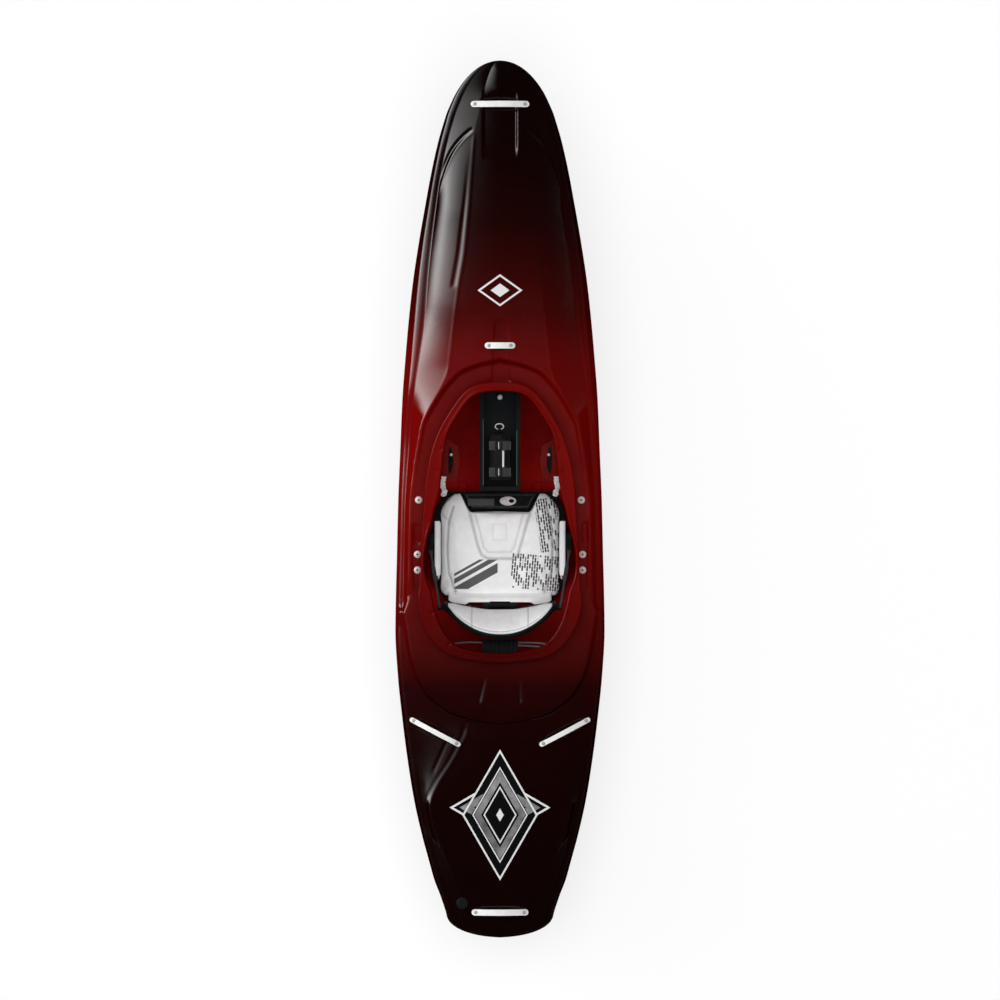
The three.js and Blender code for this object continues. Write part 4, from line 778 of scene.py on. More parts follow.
def foam_material():
    n = Nodes("foam")
    pores = n.new("TexVoronoi", Vector=n.coords, Scale=900).outputs["Distance"]
    colour = n.mix(n.mapped(pores, 0.1, 0.6), (0.0035, 0.004, 0.0045), (0.008, 0.009, 0.0095))
    return n.set(color=colour, rough=0.85, sheen=0.02, spec=0.25,
                 normal=n.bump(n.noise(40, 3), 0.2, 0.8, n.bump(pores, 0.35, 0.25)))


def webbing_material(name, low, high):
    n = Nodes(name)
    weave = n.twill(620)
    return n.set(color=n.mix(weave, low, high), rough=0.8, sheen=0.2, normal=n.bump(weave, 0.5, 0.3))


def seat_pattern(n, colour):
    """Generic print: two fields of short dashes and three slanted stripes."""
    x, y, _ = n.split()
    edge = 1.2
    dash_sizes = {"Mortar Size": 0.0014, "Brick Width": 0.019, "Row Height": 0.0078}

    def within(value, middle, half):
        distance = n.math("ABSOLUTE", n.minus(value, middle * MM))
        return n.mapped(distance, half * MM, (half + edge) * MM, 1.0, 0.0)

    for cx, cy, turn, half_x, half_y in ((-78, -152, 8, 84, 34), (-228, -112, -5, 54, 76)):
        cosine, sine = math.cos(math.radians(turn)), math.sin(math.radians(turn))
        dx, dy = n.minus(x, cx * MM), n.minus(y, cy * MM)
        across = n.plus(n.times(dx, cosine), n.times(dy, sine))
        over = n.minus(n.times(dy, cosine), n.times(dx, sine))
        field = n.times(within(across, 0, half_x), within(over, 0, half_y))
        place = n.new("CombineXYZ", X=across, Y=over).outputs[0]
        dashes = n.new("TexBrick", Vector=place, Color1=(0, 0, 0), Color2=(1, 1, 1), Mortar=(1, 1, 1),
                       Scale=1, Bias=-0.25, **dash_sizes)
        ink = n.times(n.mapped(dashes.outputs["Color"], 0.42, 0.5, 0.95, 0.0), field)
        colour = n.mix(ink, colour, (0.015, 0.015, 0.017))
    slant = n.plus(n.times(x, 1.78), y)
    ends = n.times(within(x, -234, 46), within(y, 76, 68))
    for middle, half in ((-372, 26), (-312, 14), (-276, 7)):
        stripe = n.times(within(slant, middle, half), ends)
        colour = n.mix(n.times(stripe, 0.92), colour, (0.03, 0.03, 0.033))
    return colour


def cloth_material(name, printed=False):
    n = Nodes(name)
    colour = n.mix(n.mapped(n.noise(24, 4, 0.6), 0.3, 0.7), (0.93, 0.925, 0.93), (0.84, 0.835, 0.845))
    if printed:
        colour = seat_pattern(n, colour)
    # Painted shade: the cloth is darkened in its sewn grooves, more where they are deeper.
    seam_shade = n.new("Attribute")
    seam_shade.attribute_name = "seam_shade"
    colour = n.mix(n.times(seam_shade.outputs["Fac"], 0.62), colour, (0.30, 0.29, 0.29))
    weave = n.bump(n.times(n.wave(760, "X"), n.wave(760, "Y")), 0.18, 0.15)
    return n.set(color=colour, rough=0.62, sheen=0.12, normal=n.bump(n.noise(70, 3), 0.15, 0.5, weave))


def black_cloth_material():
    n = Nodes("black_cloth")
    colour = n.mix(n.mapped(n.noise(45, 4), 0.3, 0.7), (0.0045, 0.005, 0.0055), (0.010, 0.0105, 0.011))
    weave = n.bump(n.twill(900), 0.3, 0.2)
    return n.set(color=colour, rough=0.7, sheen=0.03, spec=0.3,
                 normal=n.bump(n.noise(60, 3), 0.25, 0.6, weave))


def satin_metal(name, light, dark):
    return grained(name, (120, 3), light, dark, (1400, 3, 0.6), (0.12, 0.05), (0.38, 0.55), metal=0.3)


hull_plastic = hull_material("hull_plastic", 0.5)
rim_plastic = hull_material("rim_plastic", 0.13)
# The inside of the hull and the seat rails get about twice as light a red as the deck: painted light standing
# in for the light the shaded cavity lacks.
hull_inside_painted_light = grained("hull_interior_painted_light", (30, 4), (0.31, 0.0014, 0.0006), (0.40, 0.0022, 0.001),
                      (240, 3), (0.2, 0.3), 0.5, ior=1.5, spec=0.1)
bar_plastic = bar_material()
steel = steel_material()
black_plastic = grained("black_plastic", (60, 3), (0.0035, 0.004, 0.0045), (0.008, 0.0085, 0.009),
                        (1100, 3, 0.6), (0.25, 0.12), (0.36, 0.52), spec=0.3)
foam = foam_material()
webbing = webbing_material("webbing", (0.03, 0.031, 0.033), (0.075, 0.076, 0.08))
brace_plastic = grained("brace_plastic", (40, 3), (0.105, 0.0016, 0.0008), (0.14, 0.0024, 0.0012),
                        (700, 2), (0.12, 0.1), 0.4, ior=1.5, spec=0.12)
rubber = grained("seal_rubber", (300, 3), (0.008, 0.008, 0.008), (0.015, 0.015, 0.015),
                 (900, 2), (0.2, 0.1), 0.75, (0, 1))
cloth = cloth_material("seat_cloth")
seat_print = cloth_material("seat_cloth_printed", True)
grey_webbing = webbing_material("grey_webbing", (0.045, 0.046, 0.048), (0.11, 0.112, 0.116))
light_webbing = webbing_material("light_webbing", (0.66, 0.65, 0.64), (0.86, 0.85, 0.84))
black_cloth = black_cloth_material()
bright_steel = satin_metal("bright_steel", (0.80, 0.745, 0.74), (0.68, 0.64, 0.635))
bar_screw_steel = satin_metal("bar_screw_steel", (0.50, 0.49, 0.49), (0.36, 0.355, 0.36))


# ---- hull
def hull_stations():
    start, end = -stern_round_start * half_length, bow_round_start * half_length
    body = np.arange(start, end, 5.0)
    stern = start - (half_length + start) * np.sin(np.linspace(0.06, 1.53, 18))
    bow = end + (half_length - end) * np.sin(np.linspace(0.03, 1.545, 40))
    return np.concatenate([stern[::-1], body, bow])


deck_columns = 66
lower_steps = 14
roll_steps = 12


def hull_ring_parts(inset):
    """Points of half sections from the keel out and in to the middle of the deck, for every station."""
    xs = hull_stations()
    place = xs / half_length
    sheer = np.maximum(sheer_half(xs) - inset, 0.25 * sheer_half(xs))
    sheer_z = smooth(sheer_shares, place) * deck_height
    keel_z = smooth(keel_shares, place) * deck_height + inset
    bottom = np.minimum(smooth(bottom_half_shares, place) * half_beam * tip_share(xs), sheer / 2)
    columns = []
    for share in (0, 0.34, 0.67, 1):
        columns.append((bottom * share, keel_z))
    for step in range(1, lower_steps + 1):
        turn = math.pi / 2 * step / lower_steps
        out = math.sin(turn) ** side_roundness
        up = 1 - max(0, math.cos(turn)) ** side_roundness
        columns.append((bottom + (sheer - bottom) * out, keel_z + (sheer_z - keel_z) * up))
    edge = edge_half(xs)
    inner_edge = np.maximum(edge - inset, 0.4)
    edge_z = deck_level(xs, edge) + deck_detail(xs, edge) - inset
    for step in range(1, roll_steps):
        turn = math.pi / 2 * step / roll_steps
        columns.append((inner_edge + (sheer - inner_edge) * math.cos(turn),
                        sheer_z + (edge_z - sheer_z) * math.sin(turn)))
    narrowing = sheer / (sheer + inset)
    for step in range(deck_columns + 1):
        line = edge * (1 - step / deck_columns)
        columns.append(((inner_edge if step == 0 else line * narrowing), None, line))
    return xs, columns


def hull_grid(inset):
    """Array of points (station, place round the ring, axis) of one skin."""
    xs, columns = hull_ring_parts(inset)
    shrink = (half_length - inset) / half_length
    halves = {}
    for side in (1, -1):
        rows = []
        for column in columns:
            if column[1] is None:
                y, _, line = column
                if inset:
                    z = under_deck(xs * shrink, side * y, inset)
                else:
                    z = deck_level(xs, side * line) + deck_detail(xs, side * line)
            else:
                y, z = column
            rows.append(np.stack([xs * shrink, side * y, z], -1))
        halves[side] = np.stack(rows, 1)
    return np.concatenate([halves[1], halves[-1][:, -2:0:-1]], 1)


def coaming_line(count):
    """Points round the cockpit opening with their outward direction and flange width."""
    half = [np.array([cockpit_rear + a * cockpit_length, b * cockpit_half, c * flange_width])
            for a, b, c in coaming_shares]
    pts = half + [p * np.array([1, -1, 1]) for p in half[-2:0:-1]]
    total = len(pts)

    def at(share):
        p = total * (share % 1)
        i, t = int(p), p - int(p)
        near = [pts[(i + k) % total] for k in (-1, 0, 1, 2)]
        d0, d1, d2 = (max(np.sum((b - a) ** 2) ** 0.25, 1e-4) for a, b in zip(near, near[1:]))
        p0, p1, p2, p3 = near
        t1 = ((p1 - p0) / d0 - (p2 - p0) / (d0 + d1) + (p2 - p1) / d1) * d1
        t2 = ((p2 - p1) / d1 - (p3 - p1) / (d1 + d2) + (p3 - p2) / d2) * d1
        c2 = -3 * p1 + 3 * p2 - 2 * t1 - t2
        c3 = 2 * p1 - 2 * p2 + t1 + t2
        return p1 + t1 * t + c2 * t * t + c3 * t ** 3

    points = np.array([at(i / count) for i in range(count)])
    for axis in (0, 1, 2):
        ring = points[:, axis]
        for _ in range(6):
            ring = (np.roll(ring, 1) + 2 * ring + np.roll(ring, -1)) / 4
        points[:, axis] = ring
    tangent = np.roll(points, -1, 0) - np.roll(points, 1, 0)
    tangent = tangent[:, :2] / np.linalg.norm(tangent[:, :2], axis=1, keepdims=True)
    out = np.stack([-tangent[:, 1], tangent[:, 0]], -1)
    facing = np.sum(out * points[:, :2], 1)
    out[facing < 0] *= -1
    return points[:, :2], out, points[:, 2]


rim_count = 560
rim_points, rim_out, rim_width = coaming_line(rim_count)


def rim_height(x):
    along = np.clip((x - cockpit_rear) / cockpit_length, 0, 1)
    return rim_rear_height + (rim_front_height - rim_rear_height) * along ** rim_bend


def inside_loop(x, y, loop):
    inside = np.zeros(np.shape(x), bool)
    a, b = loop, np.roll(loop, -1, 0)
    for (ax, ay), (bx, by) in zip(a, b):
        crosses = (ay > y) != (by > y)
        if not crosses.any():
            continue
        with np.errstate(divide="ignore", invalid="ignore"):
            at = ax + (y - ay) / (by - ay) * (bx - ax)
        inside ^= crosses & (x < at)
    return inside


def build_hull():
    outer, inner = hull_grid(0), hull_grid(shell_wall)
    stations, around = outer.shape[:2]
    cut_loop = rim_points + rim_out * shell_wall * 0.5
    half_ring = 4 + lower_steps + roll_steps - 1
    deck_from, deck_to = half_ring, around - half_ring + 1
    i, k = np.meshgrid(np.arange(stations - 1), np.arange(around), indexing="ij")
    n = (k + 1) % around
    centre = (outer[i, k] + outer[i, n] + outer[i + 1, n] + outer[i + 1, k]) / 4
    on_deck = (k >= deck_from) & (k < deck_to)
    hole = on_deck & inside_loop(centre[..., 0], centre[..., 1], cut_loop)

    def index(station, place):
        return station * around + place

    quads = np.stack([index(i, k), index(i, n), index(i + 1, n), index(i + 1, k)], -1)
    kept = quads[~hole]
    # points on the rim of the hole move to the middle of the coaming's wall
    touched = np.bincount(kept.ravel(), minlength=stations * around)
    removed = np.bincount(quads[hole].ravel(), minlength=stations * around)
    border = np.nonzero((touched > 0) & (removed > 0))[0]
    flat_outer, flat_inner = outer.reshape(-1, 3).copy(), inner.reshape(-1, 3).copy()
    along_cut = np.roll(cut_loop, -1, 0) - cut_loop
    dense = np.concatenate([cut_loop + along_cut * t for t in (0, 0.25, 0.5, 0.75)])
    for grid, drop in ((flat_outer, 0), (flat_inner, shell_wall)):
        for v in border:
            gap = np.sum((dense - grid[v, :2]) ** 2, 1)
            grid[v, :2] = dense[np.argmin(gap)]
        grid[border, 2] = deck_level(grid[border, 0], grid[border, 1]) - drop
    used = np.nonzero(touched > 0)[0]
    renumber = np.full(stations * around, -1)
    renumber[used] = np.arange(len(used))
    count = len(used)
    outer_faces = renumber[kept]
    inner_faces = outer_faces[:, ::-1] + count
    # wall between the skins round the hole, and caps at both tips
    edges = {}
    for quad in outer_faces:
        for a, b in zip(quad, np.roll(quad, -1)):
            key = (min(a, b), max(a, b))
            if key in edges:
                del edges[key]
            else:
                edges[key] = (a, b)
    tips = {int(renumber[index(station, b)]) for station in (0, stations - 1) for b in range(around)}
    walls = [(b, a, a + count, b + count) for a, b in edges.values() if not (a in tips and b in tips)]
    caps = []
    for station, turn in ((0, 1), (stations - 1, -1)):
        ring = [int(renumber[index(station, b)]) for b in range(around)][::turn]
        caps += [ring, [v + count for v in ring[::-1]]]
    points = np.concatenate([flat_outer[used], flat_inner[used]])
    return points, outer_faces.tolist() + inner_faces.tolist() + walls + caps, len(outer_faces)


def coaming_profile(width, top, bottom):
    """Section of the coaming from the foot of its inner face over the flange and back down."""
    lip, middle, under = top - flange_droop, (bottom + top) / 2, top - flange_thickness
    pts = [(0, bottom), (0, middle), (0, top - 12), (0.0, top - 7), (0.6, top - 4), (2, top - 1.6),
           (4.2, top - 0.3), (7, top)]
    for t in (0.12, 0.3, 0.5, 0.7, 0.88):
        pts.append((7 + (width - 14) * t, top - flange_droop * t * 0.5 - 1.6 * math.sin(math.pi * t)))
    edge = [(7, 1.3), (4, 1.2), (1.6, 0.2), (0.3, -1.7), (0, -3.4), (0.4, -5.0), (2, -6), (5, -5.6)]
    pts += [(width - inward, lip + rise) for inward, rise in edge]
    pts += [(10 + (width - 15) * t, under - 1.5 - 1.5 * t) for t in (0.7, 0.35)]
    return pts + [(8, under - 2.5), (6.4, under - 5), (6, top - 14), (6, middle), (6, bottom)]


rim_dents = [(159, 184), (91, 200), (-353, 213), (-449, 158)]
dent_depth, dent_reach = 5.5, 8
least_rim, screw_clearance = 15, 4.5


def build_coaming():
    rings = []
    for (x, y), (ox, oy), width in zip(rim_points, rim_out, rim_width):
        width = max(width, least_rim) - screw_clearance * float(bell(abs(x + 195), 90)) * (abs(y) > 150)
        top = float(rim_height(x))
        bottom = float(deck_level(x + ox * shell_wall, y + oy * shell_wall)) - coaming_skirt
        ring = []
        for out, z in coaming_profile(width, top, bottom):
            px, py = x + ox * out, y + oy * out
            if z > top - flange_thickness:
                for dx, dy in rim_dents:
                    for side in (1, -1):
                        z -= dent_depth * float(bell(np.hypot(px - dx, py - side * dy), dent_reach))
            ring.append((px, py, z))
        rings.append(ring)
    return rings


hull_points, hull_faces, outer_face_count = build_hull()
hull = mesh_object("hull_skin", hull_points, hull_faces)
coaming = loft("coaming", build_coaming(), closed_path=True)
for material in (hull_plastic, hull_inside_painted_light, rim_plastic):
    hull.data.materials.append(material)
coaming.data.polygons.foreach_set("material_index", [2] * len(coaming.data.polygons))
slots = np.zeros(len(hull.data.polygons), np.int32)
slots[outer_face_count:] = 1
slots[-4] = slots[-2] = 0
hull.data.polygons.foreach_set("material_index", slots)
bm = bmesh.new()
bm.from_mesh(hull.data)
bm.from_mesh(coaming.data)
bm.to_mesh(hull.data)
bm.free()
bpy.data.objects.remove(coaming)
face_out(hull)
hull.data.shade_smooth()
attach(hull, "hull")
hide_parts("hull_shell")


# ---- helpers for the outfitting
def mirrored(points, side):
    return [(p[0], side * p[1], *p[2:]) for p in points]


def vertex_values(obj, key):
    values = np.empty(len(obj.data.vertices) * 3)
    obj.data.vertices.foreach_get(key, values)
    return values.reshape(-1, 3)


def coordinates(obj):
    return vertex_values(obj, "co") / MM


def set_coordinates(obj, points):
    obj.data.vertices.foreach_set("co", (np.asarray(points) * MM).ravel())
    obj.data.update()


def swollen(obj, held, cap, pressure, frames=20):
    """Lets a closed mesh swell as cloth under pressure, each point by no more than cap."""
    rest = coordinates(obj)
    group = obj.vertex_groups.new(name="held")
    group.add([int(i) for i in np.nonzero(held(rest))[0]], 1.0, "REPLACE")
    swell = obj.modifiers.new("swell", "CLOTH")
    swell.settings.quality = 5
    swell.settings.mass = 0.3
    swell.settings.use_pressure = True
    swell.settings.uniform_pressure_force = pressure
    swell.settings.vertex_group_mass = "held"
    swell.settings.effector_weights.gravity = 0
    swell.collision_settings.use_collision = False
    for number in range(1, frames + 1):
        bpy.context.scene.frame_set(number)
    apply_modifiers(obj)
    shift = coordinates(obj) - rest
    size = np.linalg.norm(shift, axis=1, keepdims=True)
    set_coordinates(obj, rest + shift * np.minimum(1, cap / np.maximum(size, 1e-6)))
    obj.vertex_groups.clear()
    bpy.context.scene.frame_set(1)


def inflated(obj, held, cap, voxel=5, pressure=4):
    """Padded form: the mesh is remeshed, swells and is then made finer."""
    remesh = obj.modifiers.new("remesh", "REMESH")
    remesh.mode = "VOXEL"
    remesh.voxel_size = voxel * MM
    apply_modifiers(obj)
    swollen(obj, held, cap, pressure)
    finer = obj.modifiers.new("finer", "SUBSURF")
    finer.levels = finer.render_levels = 1
    apply_modifiers(obj)
    obj.data.shade_smooth()
    return obj


def groove(points, lines, half_width, depth, closed=False):
    """Depth of a sewn channel along lines, seen from above."""
    total = np.zeros(len(points))
    for line in lines:
        path = list(line) + [line[0]] if closed else line
        gap = line_distance(points[:, 0], points[:, 1], path)[0]
        total = np.maximum(total, depth * bell(gap, half_width))
    return total


def keel_level(x):
    return smooth(keel_shares, np.asarray(x, float) / half_length) * deck_height


# ---- seat cushion
seat_front, cushion_rear, cushion_base, cushion_corner = 26, -308, 51.3, 34
cushion_inset = 5
panel_outer = [
    (-35.5, 95.7), (-87.7, 84.3), (-144.6, 69.2), (-173, 57.8), (-184.5, 38.8), (-184.5, -37.2),
    (-173, -56.2), (-125, -70.4), (-40, -94.1),
]
panel_inner = [
    (-42, 78.6), (-149.4, 50.2), (-163.6, 36.9), (-163.6, -32.4), (-149.4, -44.8), (-42, -73.3),
]
panel_middle = [(-76, 21.7), (-126, 21.7), (-126, -20), (-76, -20)]
wing_seam = [(-20, 148), (-70, 163), (-150, 168), (-230, 163), (-292, 140)]


def cushion_half(x):
    shoulder = ease((x + 40) / 66) * 30
    to_end = np.minimum(x - cushion_rear, seat_front - x)
    corner = np.clip(1 - to_end / cushion_corner, 0, 1)
    waist = 3 * np.sin(math.pi * (x - cushion_rear) / (seat_front - cushion_rear))
    return 197 - shoulder - waist - cushion_corner * (1 - np.sqrt(1 - corner * corner))


def cushion_body():
    rings = []
    low, high = cushion_rear + cushion_inset, seat_front - cushion_inset
    for x in low + (high - low) * (1 - np.cos(np.linspace(0.06, math.pi - 0.06, 60))) / 2:
        half = float(cushion_half(x)) - cushion_inset
        ends = round_end(min(x - low, high - x) / cushion_corner)
        ring = [(x, half * t, cushion_base + 6 + 23 * ends * math.sqrt(max(0, 1 - t ** 4)))
                for t in np.linspace(1, -1, 41)]
        ring += [(x, (half - 4) * t, cushion_base) for t in np.linspace(-1, 1, 21)]
        rings.append(ring)
    body = loft("cushion_body", rings)
    notch = prism("notch", [(-39, 96), (34, 131), (34, -131), (-39, -96)], 30, 120, 0)
    return cut(body, notch)


def rear_flap():
    """Cloth from the cushion's rear edge over the seat's rear wall."""
    rings = []
    for y in np.linspace(-162, 162, 61):
        out = abs(y) / 162
        drop = 7 * float(ease((out - 0.55) / 0.3)) + 12 * out ** 6
        back = 10 * float(ease((out - 0.58) / 0.14)) - 16 * max(0, out - 0.8) ** 2 / 0.04
        line = [(-290, 66), (-297, 76), (-303, 86 - drop), (-309, 93 - drop), (-315, 96 - drop),
                (-320 - back, 96.4 - drop), (-322 - back, 95.6 - drop)]
        rings.append([(x, y, z) for x, z in line] + [(x + 1.4, y, z - 2.4) for x, z in line[::-1]])
    return loft("rear_flap", rings)


cushion = inflated(cushion_body(), lambda p: p[:, 2] < cushion_base + 2, 6)
at = coordinates(cushion)
half = cushion_half(np.clip(at[:, 0], cushion_rear, seat_front)) - 0.6
at[:, 1] = np.clip(at[:, 1], -half, half)
at[:, 0] = np.clip(at[:, 0], cushion_rear + 0.4, seat_front - 0.4)
facing = np.clip(vertex_values(cushion, "normal")[:, 2], 0, 1)


def cushion_seams(points):
    both_wings = [wing_seam, mirrored(wing_seam, -1)]
    deep = groove(points, [panel_outer], 7, 5, True) + groove(points, both_wings, 7, 4.5)
    return deep + groove(points, [panel_middle], 4.5, 1.4, True) + groove(points, [panel_inner], 5, 3)


folds = 0.9 * np.sin(at[:, 0] / 17 + np.sin(at[:, 1] / 41) * 1.7) * ease((np.abs(at[:, 1]) - 120) / 40)
at[:, 2] -= (cushion_seams(at) + folds) * ease((facing - 0.3) / 0.4)
at[:, 2] = np.clip(at[:, 2], cushion_base - 0.2, 90)
set_coordinates(cushion, at)
parts = [(cushion, seat_print), (rear_flap(), cloth)]
# The cover's colour is darkened in the sewn grooves by their depth, as painted shade.
cushion = cloth_cover("seat_cushion_cover", parts, "seat", "seat_cushion",
                      lambda p: cushion_seams(p) / 5 * (p[:, 2] > 56) * (p[:, 0] > -298))

# ---- backband
band_half = 170
band_top = 0.965


def band_frame(u):
    out = np.abs(u)
    low = np.stack([-330 + 26 * out ** 2, 112 + 34 * out ** 2], -1)
    top = np.stack([-418 + 90 * out ** 2.2, 240 - 36 * out ** 2], -1)
    length = np.linalg.norm(top - low, axis=-1, keepdims=True)
    along = (top - low) / length
    back = np.stack([-along[..., 1], along[..., 0]], -1)
    return low, along, length, back


def band_point(u, level, depth):
    low, along, length, back = band_frame(np.float64(u))
    x, z = low + along * length * level + back * depth
    return (x, u * band_half, z)


def band_corner(u):
    return 0.34 * (1 - math.sqrt(1 - min(1, max(0, (abs(u) - 0.78) / 0.215)) ** 2))


def band_body():
    rings = []
    for u in np.sin(np.linspace(-1.4, 1.4, 71)):
        low, high = 0.03 + band_corner(u), band_top - band_corner(u)
        front, rear = [], []
        for t in np.linspace(0, 1, 17):
            rows = math.sqrt(1 - (2 * t - 1) ** 4)
            ends = math.sqrt(max(0, 1 - abs(u) ** 6))
            level = low + (high - low) * t
            front.append(band_point(u, level, 4.5 + 9 * (1 - rows * ends)))
            rear.append(band_point(u, level, 17))
        rings.append(front + rear[::-1])
    return loft("band_body", rings)


def band_place(points):
    """Share across, height above the lower edge, depth, length and rearward direction at points."""
    u = points[:, 1] / band_half
    low, along, length, back = band_frame(u)
    offset = points[:, [0, 2]] - low
    return u, np.sum(offset * along, 1) / length[:, 0], np.sum(offset * back, 1), length[:, 0], back


def band_seams(points, half_width, edge_depth=1, seam_depth=1, reach=12):
    """Depth of the sewn channels in the front of the backband."""
    u, level, depth, length, _ = band_place(points)
    high = np.array([band_top - band_corner(value) for value in u])
    to_edge = np.abs(np.abs(high - level) * length - 17)
    to_seam = np.minimum(np.abs(level * length - 16), np.abs(np.abs(u) - 0.52) * band_half)
    deep = np.maximum(edge_depth * bell(to_edge, half_width), seam_depth * bell(to_seam, half_width))
    return deep * (depth < reach)


def band_piping():
    path = [band_point(-0.985, level, 11) for level in (0.36, 0.48)]
    path += [band_point(u, 0.975 - band_corner(u), 11) for u in np.linspace(-0.98, 0.98, 41)]
    path += [band_point(0.985, level, 11) for level in (0.48, 0.36)]
    return sweep("piping", smooth_path(path, 3), round_section(4.6, 12), up=(-0.82, 0, -0.57))


band = inflated(band_body(), lambda p: band_place(p)[2] > 15.5, 4.5)
at = coordinates(band)
push = band_seams(at, 4, 2.2, 1.8, 11)
at[:, [0, 2]] += band_place(at)[4] * push[:, None]
set_coordinates(band, at)
parts = [(band, cloth), (band_piping(), black_cloth)]
# The backband's colour is darkened in its sewn channels by their depth, as painted shade.
band = cloth_cover("backband_cover", parts, "backband", "backband_pad", lambda p: band_seams(p, 3.4))

# ---- hip pads, straps and screws of the seat
hip_outline = [(-253, 98.5), (-64, 98.5), (-79, 164.5), (-230, 164.5)]
for name, side in both_sides:
    ys = sorted((side * 191.4, side * 198.6))
    wing = prism(f"hip_{name}", hip_outline, *ys, 2, 2, "y")
    wing = inflated(wing, lambda p: np.abs(p[:, 1]) > 197.6, 1.3, 3.5)
    cover = []
    for x in np.linspace(-238, -66, 40):
        end = min(x + 240, -64 - x) / 12
        lift = 2.2 * max(math.sqrt(0.02), round_end(end))
        middle = 186 + 6 * (1 - round_end(end))
        section = [(191, 152), (middle + 1, 158), (middle, 165), (middle + 2, 170 + lift),
                   (195, 172.6 + lift), (200, 173.3 + lift), (204.5, 172.8 + lift), (205.6, 172.6),
                   (198, 172.5), (198, 160)]
        cover.append([(x, side * y, z) for y, z in section])
    parts = [(wing, cloth), (loft("cover", cover), cloth)]
    wing = cloth_cover(f"hip_cover_{name}", parts, "seat", f"hip_pad_{name}")

ladder_line = [
    (-117, 217), (-140, 217), (-166, 216), (-230, 206), (-290, 196.6), (-326, 190.6), (-338, 189),
]
ladder_height = 182.85
rib_half, rib_length = 1.6, 5
for name, side in both_sides:
    run = smooth_path([(x, side * y, ladder_height) for x, y in ladder_line], 4)
    widths = [0.5 + 0.5 * float(ease((abs(point[0] + 232) - 30) / -10) + ease((point[0] + 175) / 14))
              for point in run]
    parts = [(sweep("strap", run, flat_section(12.6, 2.2, 0.8), scale=widths), webbing)]
    for x in np.arange(-252, -208, 7.2):
        y = side * np.interp(x, run[::-1, 0], side * run[::-1, 1])
        rib = [(x + a * rib_half, y + b * rib_length) for a, b in ((-1, -1), (1, -1), (1, 1), (-1, 1))]
        parts.append((prism("rib", rib, 183.6, 185.4, 0.6, 2), webbing))
    strap = soft_corners(gathered(f"ladder_{name}", parts))
    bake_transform(strap)
    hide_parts(f"ladder_strap_{name}")


rear_screw_shift = 4


def deck_screw(node):
    low, high = (np.array(corner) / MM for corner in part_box(node))
    x, y = (low[0] + high[0]) / 2, (low[1] + high[1]) / 2
    top, radius = high[2], (high[0] - low[0]) / 2
    if x < -100:
        y += math.copysign(rear_screw_shift, y)
    head = radius * 0.98
    profile = [(3.2, low[2] + 0.5), (3.2, top - 5.2), (head, top - 4.4), (head, top - 3.3),
               (head * 0.97, top - 2.7), (head * 0.8, top - 1.4), (head * 0.5, top - 0.3), (4.0, top),
               (3.4, top - 0.3), (3.2, top - 2.4), (0.1, top - 2.5)]
    head_body = turned("head", profile, (x, y, 0), sides=36)
    socket = [(3.3, top - 2.2), (3.3, top - 0.9), (0.1, top - 0.8)]
    socket = turned("socket", socket, (x, y, 0), sides=6)
    parts = [(head_body, bright_steel), (socket, brace_plastic)]
    piece(f"{node}_head", parts, "hull", "steel", node, angle=35)


for name, _ in both_sides:
    for number in (1, 2, 3):
        deck_screw(f"side_screw_{name}_{number}")


# ---- leg lifter
lifter_base = 51.2


def lifter_half(x):
    return 88 + (x + 30) * 29 / 56 - 0.8


def lifter_body():
    rings = []
    for x in np.concatenate([[-29.4, -28], np.linspace(-26, 22, 25), [24, 25.4]]):
        half = lifter_half(x)
        ramp = min(1, (x + 30) / 9) if x < 0 else min(1, 1 - (x - 17) / 9 * 0.25)
        peak = lifter_base + 35 * max(0.2, round_end(ramp))
        ring = []
        for y in np.linspace(half, -half, 121):
            near = min(1, (half - abs(y)) / 7)
            z = peak - 6 * (1 - round_end(near))
            if y < -56:
                z -= 1.7 * bell(abs((-y - 56) % 8 - 4), 2.4) * min(1, near * 2)
            ring.append((x, y, z))
        ring += [(x, y, lifter_base) for y in np.linspace(-half, half, 31)]
        rings.append(ring)
    return loft("lifter_body", rings)


def lifter_trim():
    rear, front = -20.5, 16
    ends = ((rear, 1), (front, 1), (front, -1), (rear, -1))
    corners = [(x, side * (lifter_half(x) - 5)) for x, side in ends]
    path = []
    for a, b in zip(corners, corners[1:] + corners[:1]):
        for t in (0.04, 0.35, 0.65, 0.96):
            path.append((a[0] + (b[0] - a[0]) * t, a[1] + (b[1] - a[1]) * t, 86.2))
    return sweep("lifter_trim", smooth_path(path, 4, True), round_section(1.1, 8), closed=True)


strap_line = [(101, 84.6), (97, 87.2), (80, 87.6), (55, 87.5), (30, 87.6), (18, 87.6)]
strap_line = smooth_path([(-7, y, z) for y, z in strap_line], 5)
lifter_strap = sweep("lifter_strap", strap_line, flat_section(22, 1.4, 0.6))
parts = [(lifter_body(), black_plastic), (lifter_trim(), webbing), (lifter_strap, grey_webbing)]
piece("lifter_wedge", parts, "leg_lifter", "black_plastic", "leg_lifter", angle=50)


def oval(long, wide, middle=-25):
    return [(-3 + wide * math.cos(t), middle + long * math.sin(t)) for t in circle(40)]


base_plate = prism("base_plate", oval(26, 14.5), 87.3, 90.4, 1.2, 3)
base_plate = cut(base_plate, prism("opening", oval(8.5, 6, -36), 80, 100, 0))
rim_ring = [(x, y, 90.4) for x, y in oval(22.5, 11.4)]
rim_ring = sweep("rim_ring", rim_ring, round_section(1.5, 10), closed=True)
button = [(8, 90), (8.4, 91), (8.2, 92.4), (7, 93.2), (3, 93.6), (0.1, 93.7)]
button = turned("button", button, (-3, -14, 0), sides=36)
opening_floor = prism("opening_floor", oval(8.3, 5.8, -36), 87.3, 88.2, 0.2, 1)
parts = [(metal, bright_steel) for metal in (base_plate, rim_ring, button)]
parts.append((opening_floor, black_plastic))
piece("lifter_ring", parts, "leg_lifter", "steel", "lifter_buckle", angle=50)


